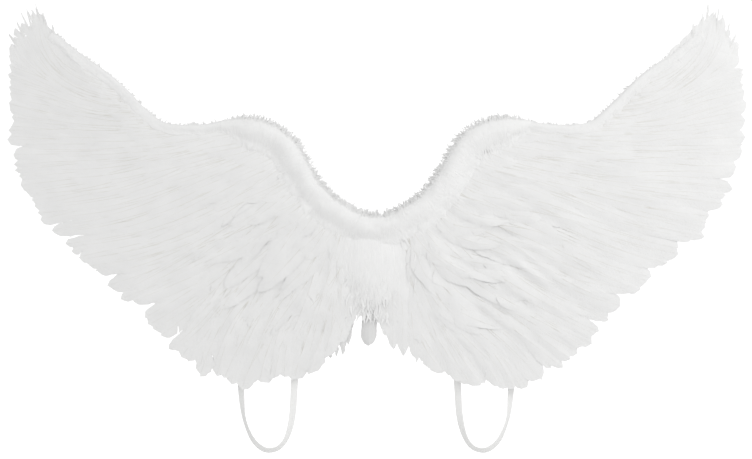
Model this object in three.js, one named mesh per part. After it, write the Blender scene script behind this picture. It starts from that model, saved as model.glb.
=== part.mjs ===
// Feathered costume wings with two elastic arm loops, in millimetres.
// The wings stand in the XZ plane. +Z is up, +X is the wearer's right, the wearer's back is on the +Y side,
// and the feathers face -Y. The origin is on the wearer's side of the centre panel, between the two folds.

import * as THREE from "three";

// ---- Driving dimensions ----
const PANEL_HALF_WIDTH = 26; // centre panel between the two folds
const PANEL_TOP = 34;
const PANEL_BOTTOM = -52;
const WING_ROOT = 33; // distance from the middle to where a wing's board begins, past the fold at 30
const GAP = 0.3; // between pieces that touch

const CLOTH_THICKNESS = 0.8;
const WIRE_DIAMETER = 2.4;
const BOARD_THICKNESS = 2.4;
const ROW_THICKNESS = 2.5;
const TRIM_RADIUS = 10;

const STRAP_WIDTH = 8;
const STRAP_THICKNESS = 1.2;
const STRAP_DEPTH = 2; // centre plane of the hanging elastic, towards the wearer
const STRAP_TOP = 19.5;
const STRAP_LEGS = [89, 147]; // distance of each leg from the middle
const STRAP_BOTTOM = -212;
const PATCH_HEIGHT = 24;
const PATCH_BOTTOM = 22;
const PATCH_MARGIN = 9;

// Outlines of one wing, as [outward, up] from the middle.
const LEADING_EDGE = [
  [33, 52], [60, 80], [74, 104], [90, 128], [110, 142], [135, 149], [160, 148],
  [188, 143], [225, 144], [245, 157], [281, 192], [318, 219], [352, 246],
];
const TRIM_END = 0.5; // share of the leading edge that carries the down trim

// The feathers run from the arm line to the tip line, each from a point of one to the matching point of the other.
const ARM_LINE = [
  [46, 6], [62, 30], [84, 58], [112, 84], [145, 100], [180, 106],
  [214, 112], [244, 128], [270, 150], [294, 174], [312, 196], [326, 210],
];
const TIP_LINE = [
  [40, -100], [70, -128], [118, -143], [170, -136], [225, -104], [270, -52],
  [330, 2], [378, 62], [398, 120], [401, 172], [392, 222], [366, 262],
];

// Feather rows: stretch of the arm line, start and end as shares of a feather's whole run, and feather count.
const ROWS = {
  primary_feathers: { from: 0.5, to: 1, base: 0.2, tip: 1, count: 9, layer: 0 },
  secondary_feathers: { from: 0.0, to: 0.49, base: 0.25, tip: 1, count: 9, layer: 0 },
  greater_coverts: { from: 0.03, to: 0.86, base: 0.12, tip: 0.8, count: 13, layer: 1 },
  median_coverts: { from: 0.05, to: 0.84, base: 0.06, tip: 0.6, count: 13, layer: 2 },
  lesser_coverts: { from: 0.06, to: 0.82, base: 0.02, tip: 0.4, count: 13, layer: 3 },
};

// Stack from the wearer's side, which is at y 0, to the feather side.
const WIRE_PLANE = -(CLOTH_THICKNESS + GAP + WIRE_DIAMETER / 2);
const BOARD_BACK = WIRE_PLANE - WIRE_DIAMETER / 2 - GAP;
const FIRST_ROW_BACK = BOARD_BACK - BOARD_THICKNESS - GAP;
const TRIM_PLANE = -11;

// ---- Materials ----
const paint = (color, roughness, metalness = 0) =>
  new THREE.MeshStandardMaterial({ color, roughness, metalness });
const feather = () => paint(0xf1f1ef, 0.75);
const down = () => paint(0xf7f7f5, 0.95);
const cloth = () => paint(0xeeeeea, 0.9);
const board = () => paint(0xe6e4de, 0.85);
const steel = () => paint(0xb9bcc0, 0.35, 1);
const elastic = () => paint(0xf3f3f1, 0.8);
const thread = () => paint(0xf8f8f6, 0.7);

// ---- Shapes ----
function mesh(name, geometry, material) {
  const made = new THREE.Mesh(geometry, material);
  made.name = name;
  return made;
}

// A flat plate with the outline [x, z], from y = back towards -Y.
function plate(outline, back, thickness) {
  const shape = new THREE.Shape(outline.map(([x, z]) => new THREE.Vector2(x, z)));
  const made = new THREE.ExtrudeGeometry(shape, { depth: thickness, bevelEnabled: false });
  return made.rotateX(Math.PI / 2).translate(0, back, 0);
}

function rectangle(left, right, bottom, top) {
  return [[left, bottom], [right, bottom], [right, top], [left, top]];
}

// A section swept along a smooth line through [x, z] points in the plane y.
function sweep(points, y, section, steps) {
  const path = new THREE.CatmullRomCurve3(points.map(([x, z]) => new THREE.Vector3(x, y, z)));
  return new THREE.ExtrudeGeometry(section, { steps, bevelEnabled: false, extrudePath: path });
}

function wire(points, steps) {
  const section = new THREE.Shape();
  const sides = 8;
  for (let i = 0; i < sides; i++) {
    const angle = (2 * Math.PI * i) / sides;
    const x = (WIRE_DIAMETER / 2) * Math.cos(angle);
    const y = (WIRE_DIAMETER / 2) * Math.sin(angle);
    if (i === 0) section.moveTo(x, y);
    else section.lineTo(x, y);
  }
  return sweep(points, WIRE_PLANE, section, steps);
}

// Flat elastic: its width lies in the plane of the loop.
function band(points, y, steps) {
  const half = [STRAP_THICKNESS / 2, STRAP_WIDTH / 2];
  const section = new THREE.Shape([
    new THREE.Vector2(-half[0], -half[1]),
    new THREE.Vector2(half[0], -half[1]),
    new THREE.Vector2(half[0], half[1]),
    new THREE.Vector2(-half[0], half[1]),
  ]);
  return sweep(points, y, section, steps);
}

// A round roll along a line in the plane y, narrowed towards both ends.
function roll(points, y, radius, steps) {
  const sides = 12;
  const taper = 0.12;
  const endShare = 0.35;
  const path = new THREE.CatmullRomCurve3(points.map(([x, z]) => new THREE.Vector3(x, y, z)));
  const frames = path.computeFrenetFrames(steps, false);
  const position = [];
  const index = [];
  for (let i = 0; i <= steps; i++) {
    const along = i / steps;
    const nearEnd = Math.min(along, 1 - along) / taper;
    const grown = Math.sin((Math.min(1, nearEnd) * Math.PI) / 2);
    const r = radius * (endShare + (1 - endShare) * grown);
    const centre = path.getPointAt(along);
    for (let j = 0; j < sides; j++) {
      const angle = (2 * Math.PI * j) / sides;
      const rim = centre
        .clone()
        .addScaledVector(frames.normals[i], r * Math.cos(angle))
        .addScaledVector(frames.binormals[i], r * Math.sin(angle));
      position.push(rim.x, rim.y, rim.z);
    }
  }
  const first = (steps + 1) * sides;
  for (const end of [path.getPointAt(0), path.getPointAt(1)]) position.push(end.x, end.y, end.z);
  for (let j = 0; j < sides; j++) {
    const next = (j + 1) % sides;
    for (let i = 0; i < steps; i++) {
      const [a, b, c, d] = [i * sides + j, i * sides + next, (i + 1) * sides + j, (i + 1) * sides + next];
      index.push(a, b, d, a, d, c);
    }
    index.push(first, next, j);
    index.push(first + 1, steps * sides + j, steps * sides + next);
  }
  const made = new THREE.BufferGeometry();
  made.setAttribute("position", new THREE.Float32BufferAttribute(position, 3));
  made.setIndex(index);
  return made;
}

// ---- Lines of a wing ----
const asCurve = (points) => new THREE.SplineCurve(points.map(([u, z]) => new THREE.Vector2(u, z)));
const leadingCurve = asCurve(LEADING_EDGE);
const armCurve = asCurve(ARM_LINE);
const tipCurve = asCurve(TIP_LINE);

// The point at a share t of the leading edge, moved in towards the feathers.
function leading(t, inset) {
  const at = leadingCurve.getPoint(t);
  const tangent = leadingCurve.getTangent(t);
  return [at.x + tangent.y * inset, at.y - tangent.x * inset];
}

// The point at a share s of the run of the feather at t.
function flow(t, s) {
  const at = armCurve.getPoint(t).lerp(tipCurve.getPoint(t), s);
  return [at.x, at.y];
}

function range(from, to, steps) {
  return Array.from({ length: steps + 1 }, (_, i) => from + ((to - from) * i) / steps);
}

// How far inside the leading edge the flat layers stop: below the roll of trim, then close to the edge.
function edgeInset(t) {
  const past = THREE.MathUtils.smoothstep(t, TRIM_END - 0.04, TRIM_END + 0.08);
  return THREE.MathUtils.lerp(2 * TRIM_RADIUS + 1.5, 5, past);
}

// One row of feathers: a scalloped edge of rounded tips, and a plain edge where the quills are glued.
function featherRow({ from, to, base, tip, count }) {
  const notch = 0.07;
  const roundTip = [[0.12, -0.03], [0.36, -0.004], [0.64, 0], [0.88, -0.03]];
  const step = (to - from) / count;
  const points = [];
  for (let i = 0; i < count; i++) {
    const start = from + i * step;
    points.push(flow(start, tip - notch));
    for (const [across, reach] of roundTip) points.push(flow(start + across * step, tip + reach));
  }
  points.push(flow(to, tip - notch));
  for (const t of range(to, from, 14)) points.push(flow(t, base));
  return points;
}

function boardOutline(margin) {
  const reach = 0.72;
  return [
    [WING_ROOT + margin, PANEL_BOTTOM + margin],
    [WING_ROOT + margin, 22],
    ...range(0.03, 0.95, 26).map((t) => leading(t, edgeInset(t) + margin)),
    ...range(1, 0.02, 26).map((t) => flow(t, reach - margin / 200)),
  ];
}

// The soft feathers that cover the arm, from under the trim or the leading edge down to the coverts.
function shoulderOutline() {
  const [from, to] = [0.1, 0.93];
  const count = 14;
  const step = (to - from) / count;
  const lower = [];
  for (let i = 0; i < count; i++) {
    const t = from + i * step;
    lower.push(flow(t, 0.14), flow(t + step / 2, 0.22));
  }
  return [...range(0.12, 0.9, 26).map((t) => leading(t, edgeInset(t) - 3)), ...lower.reverse()];
}

// The longest feathers, upright at the wing tip.
const TIP_FEATHERS = [
  [334, 206], [338, 238], [344, 250], [349, 240], [354, 244], [361, 271], [367, 250],
  [371, 262], [376, 250], [386, 246], [388, 232], [384, 208], [366, 205], [350, 204],
];

const TAIL_FEATHER = [
  [-13, -22], [-13, -60], [-15, -84], [-14, -94], [-8, -99], [-1, -97], [2, -90], [1, -78], [-2, -60], [-2, -22],
];

const RIB_WIRES = {
  middle_rib_wire: [[34.5, -8], [120, 30], [230, 70], [335, 128]],
  lower_rib_wire: [[34.5, -34], [90, -44], [150, -44], [196, -26]],
};
const CENTRE_WIRES = { upper_centre_wire: 16, middle_centre_wire: -8, lower_centre_wire: -34 };

// The wire along the arm keeps just inside the edge of the board.
function armWireRoute() {
  return [[WING_ROOT + 1.5, 16], [50, 19], ...range(0.1, 0.93, 11).map((t) => leading(t, edgeInset(t) + 6))];
}

// ---- The centre panel ----
function centrePanel() {
  const panel = new THREE.Group();
  const cover = rectangle(-PANEL_HALF_WIDTH, PANEL_HALF_WIDTH, PANEL_BOTTOM, PANEL_TOP);
  panel.add(mesh("centre_backing", plate(cover, 0, CLOTH_THICKNESS), cloth()));
  const stiff = rectangle(1 - PANEL_HALF_WIDTH, PANEL_HALF_WIDTH - 1, PANEL_BOTTOM + 1, PANEL_TOP - 10);
  panel.add(mesh("centre_board", plate(stiff, BOARD_BACK, BOARD_THICKNESS), board()));
  for (const [name, height] of Object.entries(CENTRE_WIRES)) {
    const ends = [[1 - PANEL_HALF_WIDTH, height], [PANEL_HALF_WIDTH - 1, height]];
    panel.add(mesh(name, wire(ends, 1), steel()));
  }
  const tailThickness = 1.2;
  panel.add(mesh("tail_feather", plate(TAIL_FEATHER, FIRST_ROW_BACK, tailThickness), feather()));
  const [halfWidth, halfDepth, halfHeight] = [23, 8.4, 35];
  const body = new THREE.SphereGeometry(1, 20, 14).scale(halfWidth, halfDepth, halfHeight);
  body.translate(0, FIRST_ROW_BACK - tailThickness - GAP - halfDepth, -14);
  panel.add(mesh("centre_down", body, down()));
  const dip = [[-28, 40], [-14, 35], [0, 33.5], [14, 35], [28, 40]];
  panel.add(mesh("centre_trim", roll(dip, TRIM_PLANE, TRIM_RADIUS - 1, 12), down()));
  return panel;
}

// ---- One wing: side is -1 on the wearer's left and 1 on the right ----
function wing(side, prefix) {
  const made = new THREE.Group();
  const place = (points) => points.map(([u, z]) => [side * u, z]);
  const add = (name, geometry, material) => made.add(mesh(prefix + name, geometry, material));

  add("backing_cloth", plate(place(boardOutline(2)), 0, CLOTH_THICKNESS), cloth());
  add("wing_board", plate(place(boardOutline(0)), BOARD_BACK, BOARD_THICKNESS), board());
  add("arm_wire", wire(place(armWireRoute()), 36), steel());
  for (const [name, route] of Object.entries(RIB_WIRES)) add(name, wire(place(route), 14), steel());

  for (const [name, row] of Object.entries(ROWS)) {
    const back = FIRST_ROW_BACK - row.layer * (ROW_THICKNESS + GAP);
    add(name, plate(place(featherRow(row)), back, ROW_THICKNESS), feather());
  }
  const shoulderBack = FIRST_ROW_BACK - 4 * (ROW_THICKNESS + GAP);
  add("shoulder_feathers", plate(place(shoulderOutline()), shoulderBack, ROW_THICKNESS), feather());
  const tipBack = FIRST_ROW_BACK - (ROW_THICKNESS + GAP);
  add("tip_feathers", plate(place(TIP_FEATHERS), tipBack, ROW_THICKNESS), feather());

  const trim = range(0.035, TRIM_END, 8).map((t) => leading(t, TRIM_RADIUS));
  add("marabou_trim", roll(place(trim), TRIM_PLANE, TRIM_RADIUS, 26), down());

  const tape = rectangle(WING_ROOT + 0.5, WING_ROOT + 20, PANEL_BOTTOM + 4, 16);
  add("hinge_tape", plate(place(tape), GAP + 0.6, 0.6), cloth());
  addStrapAnchors(add, place);
  return made;
}

// The ends of the elastic are glued to the backing, under one patch, and sewn through with a bar tack each.
function addStrapAnchors(add, place) {
  const [inner, outer] = STRAP_LEGS;
  const tabBack = GAP + STRAP_THICKNESS;
  const patchBack = tabBack + GAP + CLOTH_THICKNESS;
  const stitch = { halfWidth: 4.5, height: 3, thickness: 0.6 };
  for (const [name, centre] of [["inner", inner], ["outer", outer]]) {
    const half = STRAP_WIDTH / 2;
    const tab = rectangle(centre - half, centre + half, PATCH_BOTTOM + 1, PATCH_BOTTOM + PATCH_HEIGHT - 4);
    add(name + "_strap_tab", plate(place(tab), tabBack, STRAP_THICKNESS), elastic());
    const low = PATCH_BOTTOM + 10;
    const tack = rectangle(centre - stitch.halfWidth, centre + stitch.halfWidth, low, low + stitch.height);
    add(name + "_bar_tack", plate(place(tack), patchBack + GAP + stitch.thickness, stitch.thickness), thread());
  }
  const patch = rectangle(
    inner - PATCH_MARGIN, outer + PATCH_MARGIN, PATCH_BOTTOM, PATCH_BOTTOM + PATCH_HEIGHT,
  );
  add("strap_patch", plate(place(patch), patchBack, CLOTH_THICKNESS), cloth());
}

// The arm loop hangs from the two tacks behind the wing, with its bend below the feathers.
function armStrap(side, name) {
  const [inner, outer] = STRAP_LEGS;
  const route = [
    [outer, STRAP_TOP], [outer, -50], [outer, -120], [outer - 1, -150], [outer - 4, -177], [outer - 12, -198],
    [outer - 22, -209], [outer - 32, STRAP_BOTTOM], [outer - 43, -208], [inner + 7, -196], [inner + 2, -176],
    [inner, -150], [inner - 1, -120], [inner, -50], [inner, STRAP_TOP],
  ].map(([u, z]) => [side * u, z]);
  return mesh(name, band(route, STRAP_DEPTH, 64), elastic());
}

const wings = new THREE.Group();
wings.add(centrePanel());
for (const [side, prefix] of [[-1, "left_"], [1, "right_"]]) {
  wings.add(wing(side, prefix));
  wings.add(armStrap(side, prefix + "arm_strap"));
}

export default wings;
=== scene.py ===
import functools
import math

import bpy
import numpy as np
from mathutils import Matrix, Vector
from mathutils.kdtree import KDTree


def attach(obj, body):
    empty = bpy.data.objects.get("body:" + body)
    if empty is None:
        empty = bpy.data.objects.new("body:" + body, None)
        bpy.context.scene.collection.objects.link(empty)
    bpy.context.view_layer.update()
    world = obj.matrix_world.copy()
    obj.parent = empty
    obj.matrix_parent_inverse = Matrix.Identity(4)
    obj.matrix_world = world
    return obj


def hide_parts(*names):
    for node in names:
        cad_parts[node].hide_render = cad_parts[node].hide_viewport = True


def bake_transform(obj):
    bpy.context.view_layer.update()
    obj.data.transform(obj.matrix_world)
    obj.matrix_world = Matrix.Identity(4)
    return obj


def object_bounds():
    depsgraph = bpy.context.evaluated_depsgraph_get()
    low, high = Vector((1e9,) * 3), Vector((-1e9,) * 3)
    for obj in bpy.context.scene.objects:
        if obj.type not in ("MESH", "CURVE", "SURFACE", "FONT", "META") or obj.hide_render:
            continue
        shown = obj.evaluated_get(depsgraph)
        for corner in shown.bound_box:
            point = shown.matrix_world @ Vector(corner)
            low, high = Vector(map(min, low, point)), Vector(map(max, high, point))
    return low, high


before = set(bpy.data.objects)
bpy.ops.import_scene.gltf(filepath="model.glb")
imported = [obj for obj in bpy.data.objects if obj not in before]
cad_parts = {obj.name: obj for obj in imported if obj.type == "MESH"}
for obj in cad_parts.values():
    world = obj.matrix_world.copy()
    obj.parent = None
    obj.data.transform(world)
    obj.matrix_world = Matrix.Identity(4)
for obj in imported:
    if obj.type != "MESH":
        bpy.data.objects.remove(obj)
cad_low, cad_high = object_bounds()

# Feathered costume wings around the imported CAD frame. Shapes are worked out in millimetres, in the row
# frame: the wings stand in the XZ plane, the feathers face -Y and the wearer's back is on the +Y side.
# A wing's own lines use "outward" (away from the middle) and up, and a side of -1 or 1 places them.

MM = 0.001
SIDES = {"left": -1, "right": 1}

# ---- The lines that the CAD wing is built on ----
LEADING_EDGE = [
    (33, 52), (60, 80), (74, 104), (90, 128), (110, 142), (135, 149), (160, 148),
    (188, 143), (225, 144), (245, 157), (281, 192), (318, 219), (352, 246),
]
ARM_LINE = [
    (46, 6), (62, 30), (84, 58), (112, 84), (145, 100), (180, 106),
    (214, 112), (244, 128), (270, 150), (294, 174), (312, 196), (326, 210),
]
TIP_LINE = [
    (40, -100), (70, -128), (118, -143), (170, -136), (225, -104), (270, -52),
    (330, 2), (378, 62), (398, 120), (401, 172), (392, 222), (366, 262),
]
TRIM_END = 0.5
TRIM_RADIUS = 10
TRIM_DEPTH = 11
PANEL_HALF_WIDTH = 26
PANEL_TOP, PANEL_BOTTOM = 34, -52
FOLD_START, FOLD_END = 26, 34  # how far out the folds between the panel and the wings begin and end
CENTRE_WIRES = [16, -8, -34]
RIB_WIRES = [
    [(34.5, -8), (120, 30), (230, 70), (335, 128)],
    [(34.5, -34), (90, -44), (150, -44), (196, -26)],
]

# The free elastic of an arm loop, from its outer leg round to its inner one.
STRAP_ROUTE = [
    (147, 19.5), (147, -50), (147, -120), (146, -150), (143, -177), (135, -198), (125, -209), (115, -212),
    (104, -208), (96, -196), (91, -176), (89, -150), (88, -120), (89, -50), (89, 19.5),
]
STRAP_DEPTH = 2
STRAP_WIDTH = 8
# The band's turn out of the plane of its loop, in degrees, at shares of its length.
STRAP_TWIST = [
    (0.0, 3), (0.25, 8), (0.34, 22), (0.41, 68), (0.46, 46), (0.5, 34), (0.535, 62), (0.59, 24), (0.66, 14),
    (1.0, 3),
]


# ---- Camera ----
def make_camera():
    """A long lens that looks along +Y at the middle of the CAD box, which nearly fills the frame."""
    distance = 3.0
    sensor = 36.0
    side_margin = 1.0076
    width = (cad_high.x - cad_low.x) * side_margin
    data = bpy.data.cameras.new("camera")
    data.sensor_width = sensor
    data.lens = sensor * distance / width
    data.clip_end = 50
    made = bpy.data.objects.new("camera", data)
    made.location = ((cad_low.x + cad_high.x) / 2, cad_low.y - distance, (cad_low.z + cad_high.z) / 2)
    made.rotation_euler = (math.pi / 2, 0, 0)
    bpy.context.scene.collection.objects.link(made)
    bpy.context.scene.camera = made


# ---- Curves ----
def catmull(points, t):
    """The uniform Catmull-Rom curve through points at shares t, as the CAD's spline curves are."""
    p = np.asarray(points, float)
    t = np.clip(np.asarray(t, float), 0, 1) * (len(p) - 1)
    i = np.minimum(t.astype(int), len(p) - 2)
    w = (t - i)[..., None]
    p0, p1 = p[np.maximum(i - 1, 0)], p[i]
    p2, p3 = p[i + 1], p[np.minimum(i + 2, len(p) - 1)]
    v0, v1 = (p2 - p0) / 2, (p3 - p1) / 2
    return (2 * p1 - 2 * p2 + v0 + v1) * w**3 + (-3 * p1 + 3 * p2 - 2 * v0 - v1) * w**2 + v0 * w + p1


def flow(t, s):
    """The point at share s of the run of the feather at t."""
    s = np.asarray(s, float)[..., None]
    return catmull(ARM_LINE, t) * (1 - s) + catmull(TIP_LINE, t) * s


def leading(t, inset):
    """The point at share t of the leading edge, moved in towards the feathers."""
    step = 1e-3
    at = catmull(LEADING_EDGE, t)
    along = catmull(LEADING_EDGE, np.asarray(t) + step) - catmull(LEADING_EDGE, np.asarray(t) - step)
    along /= np.linalg.norm(along, axis=-1, keepdims=True)
    inward = np.stack([along[..., 1], -along[..., 0]], -1)
    return at + inward * np.asarray(inset, float)[..., None]


def distance_along(points):
    """How far along a line of points each of them lies."""
    return np.concatenate([[0], np.cumsum(np.linalg.norm(np.diff(points, axis=0), axis=1))])


def smooth(x, low, high):
    """An even rise from 0 at low to 1 at high."""
    x = np.clip((np.asarray(x, float) - low) / (high - low), 0, 1)
    return x * x * (3 - 2 * x)


def unit(v):
    v = np.asarray(v, float)
    return v / np.linalg.norm(v, axis=-1, keepdims=True)


def to_row(points, side, depth):
    """[outward, up] points of a wing at a depth towards -Y, in the row frame."""
    points = np.asarray(points, float)
    return np.stack([side * points[..., 0], np.full(points.shape[:-1], -float(depth)), points[..., 1]], -1)


def swells(rng, rows, columns, every, size):
    """Smooth random heights over a grid, with a swell about every so many rows and columns."""
    across, along = every
    coarse = rng.normal(0, size, (int(rows / across) + 2, int(columns / along) + 2))
    i, j = np.meshgrid(np.arange(rows) / across, np.arange(columns) / along, indexing="ij")
    a, b = i.astype(int), j.astype(int)
    u, v = smooth(i - a, 0, 1), smooth(j - b, 0, 1)
    near = coarse[a, b] * (1 - v) + coarse[a, b + 1] * v
    far = coarse[a + 1, b] * (1 - v) + coarse[a + 1, b + 1] * v
    return near * (1 - u) + far * u


def on_grid(grid, i, j):
    """Points of a grid at fractional rows i and columns j."""
    i, j = np.clip(i, 0, grid.shape[0] - 1.001), np.clip(j, 0, grid.shape[1] - 1.001)
    a, b = i.astype(int), j.astype(int)
    u, v = (i - a)[..., None], (j - b)[..., None]
    near = grid[a, b] * (1 - v) + grid[a, b + 1] * v
    far = grid[a + 1, b] * (1 - v) + grid[a + 1, b + 1] * v
    return near * (1 - u) + far * u


# ---- Meshes ----
class Soup:
    """Vertices in millimetres, quads, triangles and a UV per vertex, gathered from many small pieces."""

    def __init__(self):
        self.points, self.quads, self.tris, self.uvs = [], [], [], []
        self.count = 0

    def add(self, points, quads=None, tris=None, uv=None):
        points = np.asarray(points, float).reshape(-1, 3)
        self.points.append(points)
        self.uvs.append(np.zeros((len(points), 2)) if uv is None else np.asarray(uv, float).reshape(-1, 2))
        for faces, into, corners in ((quads, self.quads, 4), (tris, self.tris, 3)):
            if faces is not None and len(faces):
                into.append(np.asarray(faces, int).reshape(-1, corners) + self.count)
        self.count += len(points)

    def build(self, name, material, sharp=None):
        points = np.concatenate(self.points) * MM
        uvs = np.concatenate(self.uvs)
        quads = np.concatenate(self.quads) if self.quads else np.zeros((0, 4), int)
        tris = np.concatenate(self.tris) if self.tris else np.zeros((0, 3), int)
        corners = np.concatenate([quads.ravel(), tris.ravel()]).astype(np.int32)
        starts = np.concatenate([np.arange(len(quads)) * 4, len(quads) * 4 + np.arange(len(tris)) * 3])
        mesh = bpy.data.meshes.new(name)
        mesh.vertices.add(len(points))
        mesh.vertices.foreach_set("co", points.astype(np.float32).ravel())
        mesh.loops.add(len(corners))
        mesh.loops.foreach_set("vertex_index", corners)
        mesh.polygons.add(len(starts))
        mesh.polygons.foreach_set("loop_start", starts.astype(np.int32))
        mesh.update(calc_edges=True)
        layer = mesh.uv_layers.new(name="grain")
        layer.data.foreach_set("uv", uvs[corners].astype(np.float32).ravel())
        mesh.polygons.foreach_set("use_smooth", np.ones(len(starts), bool))
        if sharp is not None:
            mesh.set_sharp_from_angle(angle=math.radians(sharp))
        mesh.materials.append(material)
        mesh.validate()
        made = bpy.data.objects.new(name, mesh)
        bpy.context.scene.collection.objects.link(made)
        return made


def grid_faces(rows, columns, closed=False):
    """Quads of a grid of rows by columns points, with the columns joined round if closed."""
    r, c = np.meshgrid(np.arange(rows - 1), np.arange(columns if closed else columns - 1), indexing="ij")
    at, beside = r * columns + c, r * columns + (c + 1) % columns
    return np.stack([at, beside, beside + columns, at + columns], -1).reshape(-1, 4)


def end_fans(count, sides):
    """Triangles that close a tube of count rings at both ends, onto two points that follow its rings."""
    ring = np.arange(sides)
    after = (ring + 1) % sides
    size = count * sides
    last = size - sides
    return np.concatenate([
        np.stack([after, ring, np.full(sides, size)], -1),
        np.stack([last + ring, last + after, np.full(sides, size + 1)], -1),
    ])


def sheet_faces(rows, columns):
    """Quads of a closed thin sheet: a top grid, a bottom grid after it, and the walls between them."""
    top = grid_faces(rows, columns)
    size = rows * columns
    index = np.arange(size).reshape(rows, columns)
    rim = np.concatenate([index[0, :-1], index[:-1, -1], index[-1, :0:-1], index[:0:-1, 0]])
    after = np.roll(rim, -1)
    walls = np.stack([rim, rim + size, after + size, after], -1)
    return np.concatenate([top, top[:, ::-1] + size, walls])


def place(local, origin, across, along, out):
    """Local x, y, z to the row frame."""
    return origin + local[..., :1] * across + local[..., 1:2] * along + local[..., 2:3] * out


def ride_on(body, piece, stands_for=None):
    """Fixes a piece to a body."""
    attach(piece, body)
    if stands_for:
        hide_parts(stands_for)


def bend_over_fold(prefix, piece, stands_for=None):
    """Keeps a piece that lies over a fold where it is, fixed to no body, with its placement baked into its mesh,
    and hides the CAD part it stands for.
    """
    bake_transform(piece)
    if stands_for:
        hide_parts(stands_for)


# ---- Materials ----
def tint(level, less_blue=0.0):
    """A grey level as a colour, with a little less blue."""
    return (level, level, level - less_blue)


class Nodes:
    """A material's node tree, with short calls for the nodes that the materials share."""

    def __init__(self, name, color, roughness, **values):
        self.material = bpy.data.materials.new(name)
        self.material.use_nodes = True
        self.tree = self.material.node_tree
        self.shader = self.tree.nodes["Principled BSDF"]
        self.shader.inputs["Base Color"].default_value = (*color, 1)
        self.shader.inputs["Roughness"].default_value = roughness
        for socket, value in values.items():
            self.shader.inputs[socket.replace("_", " ")].default_value = value

    @functools.cached_property
    def where(self):
        """Places in the piece's own frame."""
        return self.add("ShaderNodeTexCoord").outputs["Object"]

    @functools.cached_property
    def grain(self):
        """The UV that runs with a piece's barbs, weave or ply."""
        return self.add("ShaderNodeUVMap", uv_map="grain").outputs["UV"]

    def add(self, kind, inputs=None, **settings):
        node = self.tree.nodes.new(kind)
        for key, value in settings.items():
            setattr(node, key, value)
        for key, value in (inputs or {}).items():
            if isinstance(value, bpy.types.NodeSocket):
                self.tree.links.new(value, node.inputs[key])
            else:
                node.inputs[key].default_value = value
        return node

    def noise(self, vector, scale, **more):
        return self.add("ShaderNodeTexNoise", {"Vector": vector, "Scale": scale, **more}).outputs["Fac"]

    def bands(self, vector, direction, scale, distortion, **more):
        inputs = {"Vector": vector, "Scale": scale, "Distortion": distortion, **more}
        return self.add("ShaderNodeTexWave", inputs, bands_direction=direction).outputs["Fac"]

    def ramp(self, factor, low, high, ends=(0.3, 0.7)):
        """The colour from low to high as a factor passes between two ends."""
        node = self.add("ShaderNodeValToRGB", {"Fac": factor})
        for element, position, color in zip(node.color_ramp.elements, ends, (low, high)):
            element.position = position
            element.color = (*color, 1)
        return node.outputs["Color"]

    def bump(self, height, strength, distance, under=None):
        inputs = {"Height": height, "Strength": strength, "Distance": distance}
        if under is not None:
            inputs["Normal"] = under
        return self.add("ShaderNodeBump", inputs).outputs["Normal"]

    def drive(self, **sources):
        """Links sources to the shader. A name's underscores stand for spaces."""
        for socket, source in sources.items():
            self.tree.links.new(source, self.shader.inputs[socket.replace("_", " ")])
        return self.material


def feather_material(name, tone):
    """White vane: a slight tone change from feather to feather and along each, with fine slanted barbs."""
    n = Nodes(name, tint(tone, 0.005), 0.62, Sheen_Weight=0.25, Sheen_Roughness=0.5)
    cloudy = n.noise(n.where, 38.0, Detail=3.0)
    barbs = n.bands(n.grain, "Y", 0.42, 1.2, Detail=1.0)
    split = n.noise(n.grain, 0.35, Detail=2.0)
    return n.drive(
        Base_Color=n.ramp(cloudy, tint(tone - 0.015, 0.005), tint(tone + 0.015, 0.005)),
        Normal=n.bump(split, 0.35, 0.0006, n.bump(barbs, 0.35, 0.0002)),
        Roughness=n.ramp(split, tint(0.55), tint(0.7)),
    )


def down_material(name, tone):
    """White down with a slight change of tone."""
    n = Nodes(name, tint(tone), 0.9, Sheen_Weight=0.3, Sheen_Roughness=0.6)
    cloudy = n.noise(n.where, 60.0, Detail=3.0)
    return n.drive(Base_Color=n.ramp(cloudy, tint(tone - 0.02, 0.005), tint(tone + 0.01, 0.005)))


def quill_material():
    """Ivory quill with faint streaks."""
    n = Nodes("quill", (0.84, 0.83, 0.8), 0.35)
    streak = n.noise(n.where, 90.0)
    return n.drive(Base_Color=n.ramp(streak, (0.8, 0.79, 0.75), (0.86, 0.855, 0.83)))


def cloth_material():
    """Non-woven cloth: a pressed dot pattern over matted fibres."""
    n = Nodes("non_woven", tint(0.84, 0.015), 0.85, Sheen_Weight=0.2, Sheen_Roughness=0.6)
    dots = n.add("ShaderNodeTexVoronoi", {"Vector": n.where, "Scale": 620.0, "Randomness": 0.15})
    fibres = n.noise(n.where, 900.0, Detail=4.0)
    cloudy = n.noise(n.where, 30.0, Detail=3.0)
    return n.drive(
        Base_Color=n.ramp(cloudy, tint(0.82, 0.015), tint(0.86, 0.015)),
        Normal=n.bump(fibres, 0.3, 0.0002, n.bump(dots.outputs["Distance"], 0.4, 0.0003)),
        Roughness=n.ramp(fibres, tint(0.8), tint(0.92)),
    )


def elastic_material():
    """Woven elastic: small V stitches along the band between its rubber cords."""
    n = Nodes("elastic", tint(0.9, 0.01), 0.7, Sheen_Weight=0.3, Sheen_Roughness=0.5)
    weft = n.bands(n.grain, "Y", 0.5, 0.6)
    warp = n.bands(n.grain, "X", 0.33, 0.2)
    return n.drive(
        Base_Color=n.ramp(weft, tint(0.93, 0.01), tint(0.97, 0.01), (0.0, 1.0)),
        Normal=n.bump(weft, 0.12, 0.0003, n.bump(warp, 0.12, 0.0003)),
        Roughness=n.ramp(warp, tint(0.65), tint(0.8), (0.0, 1.0)),
    )


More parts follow.
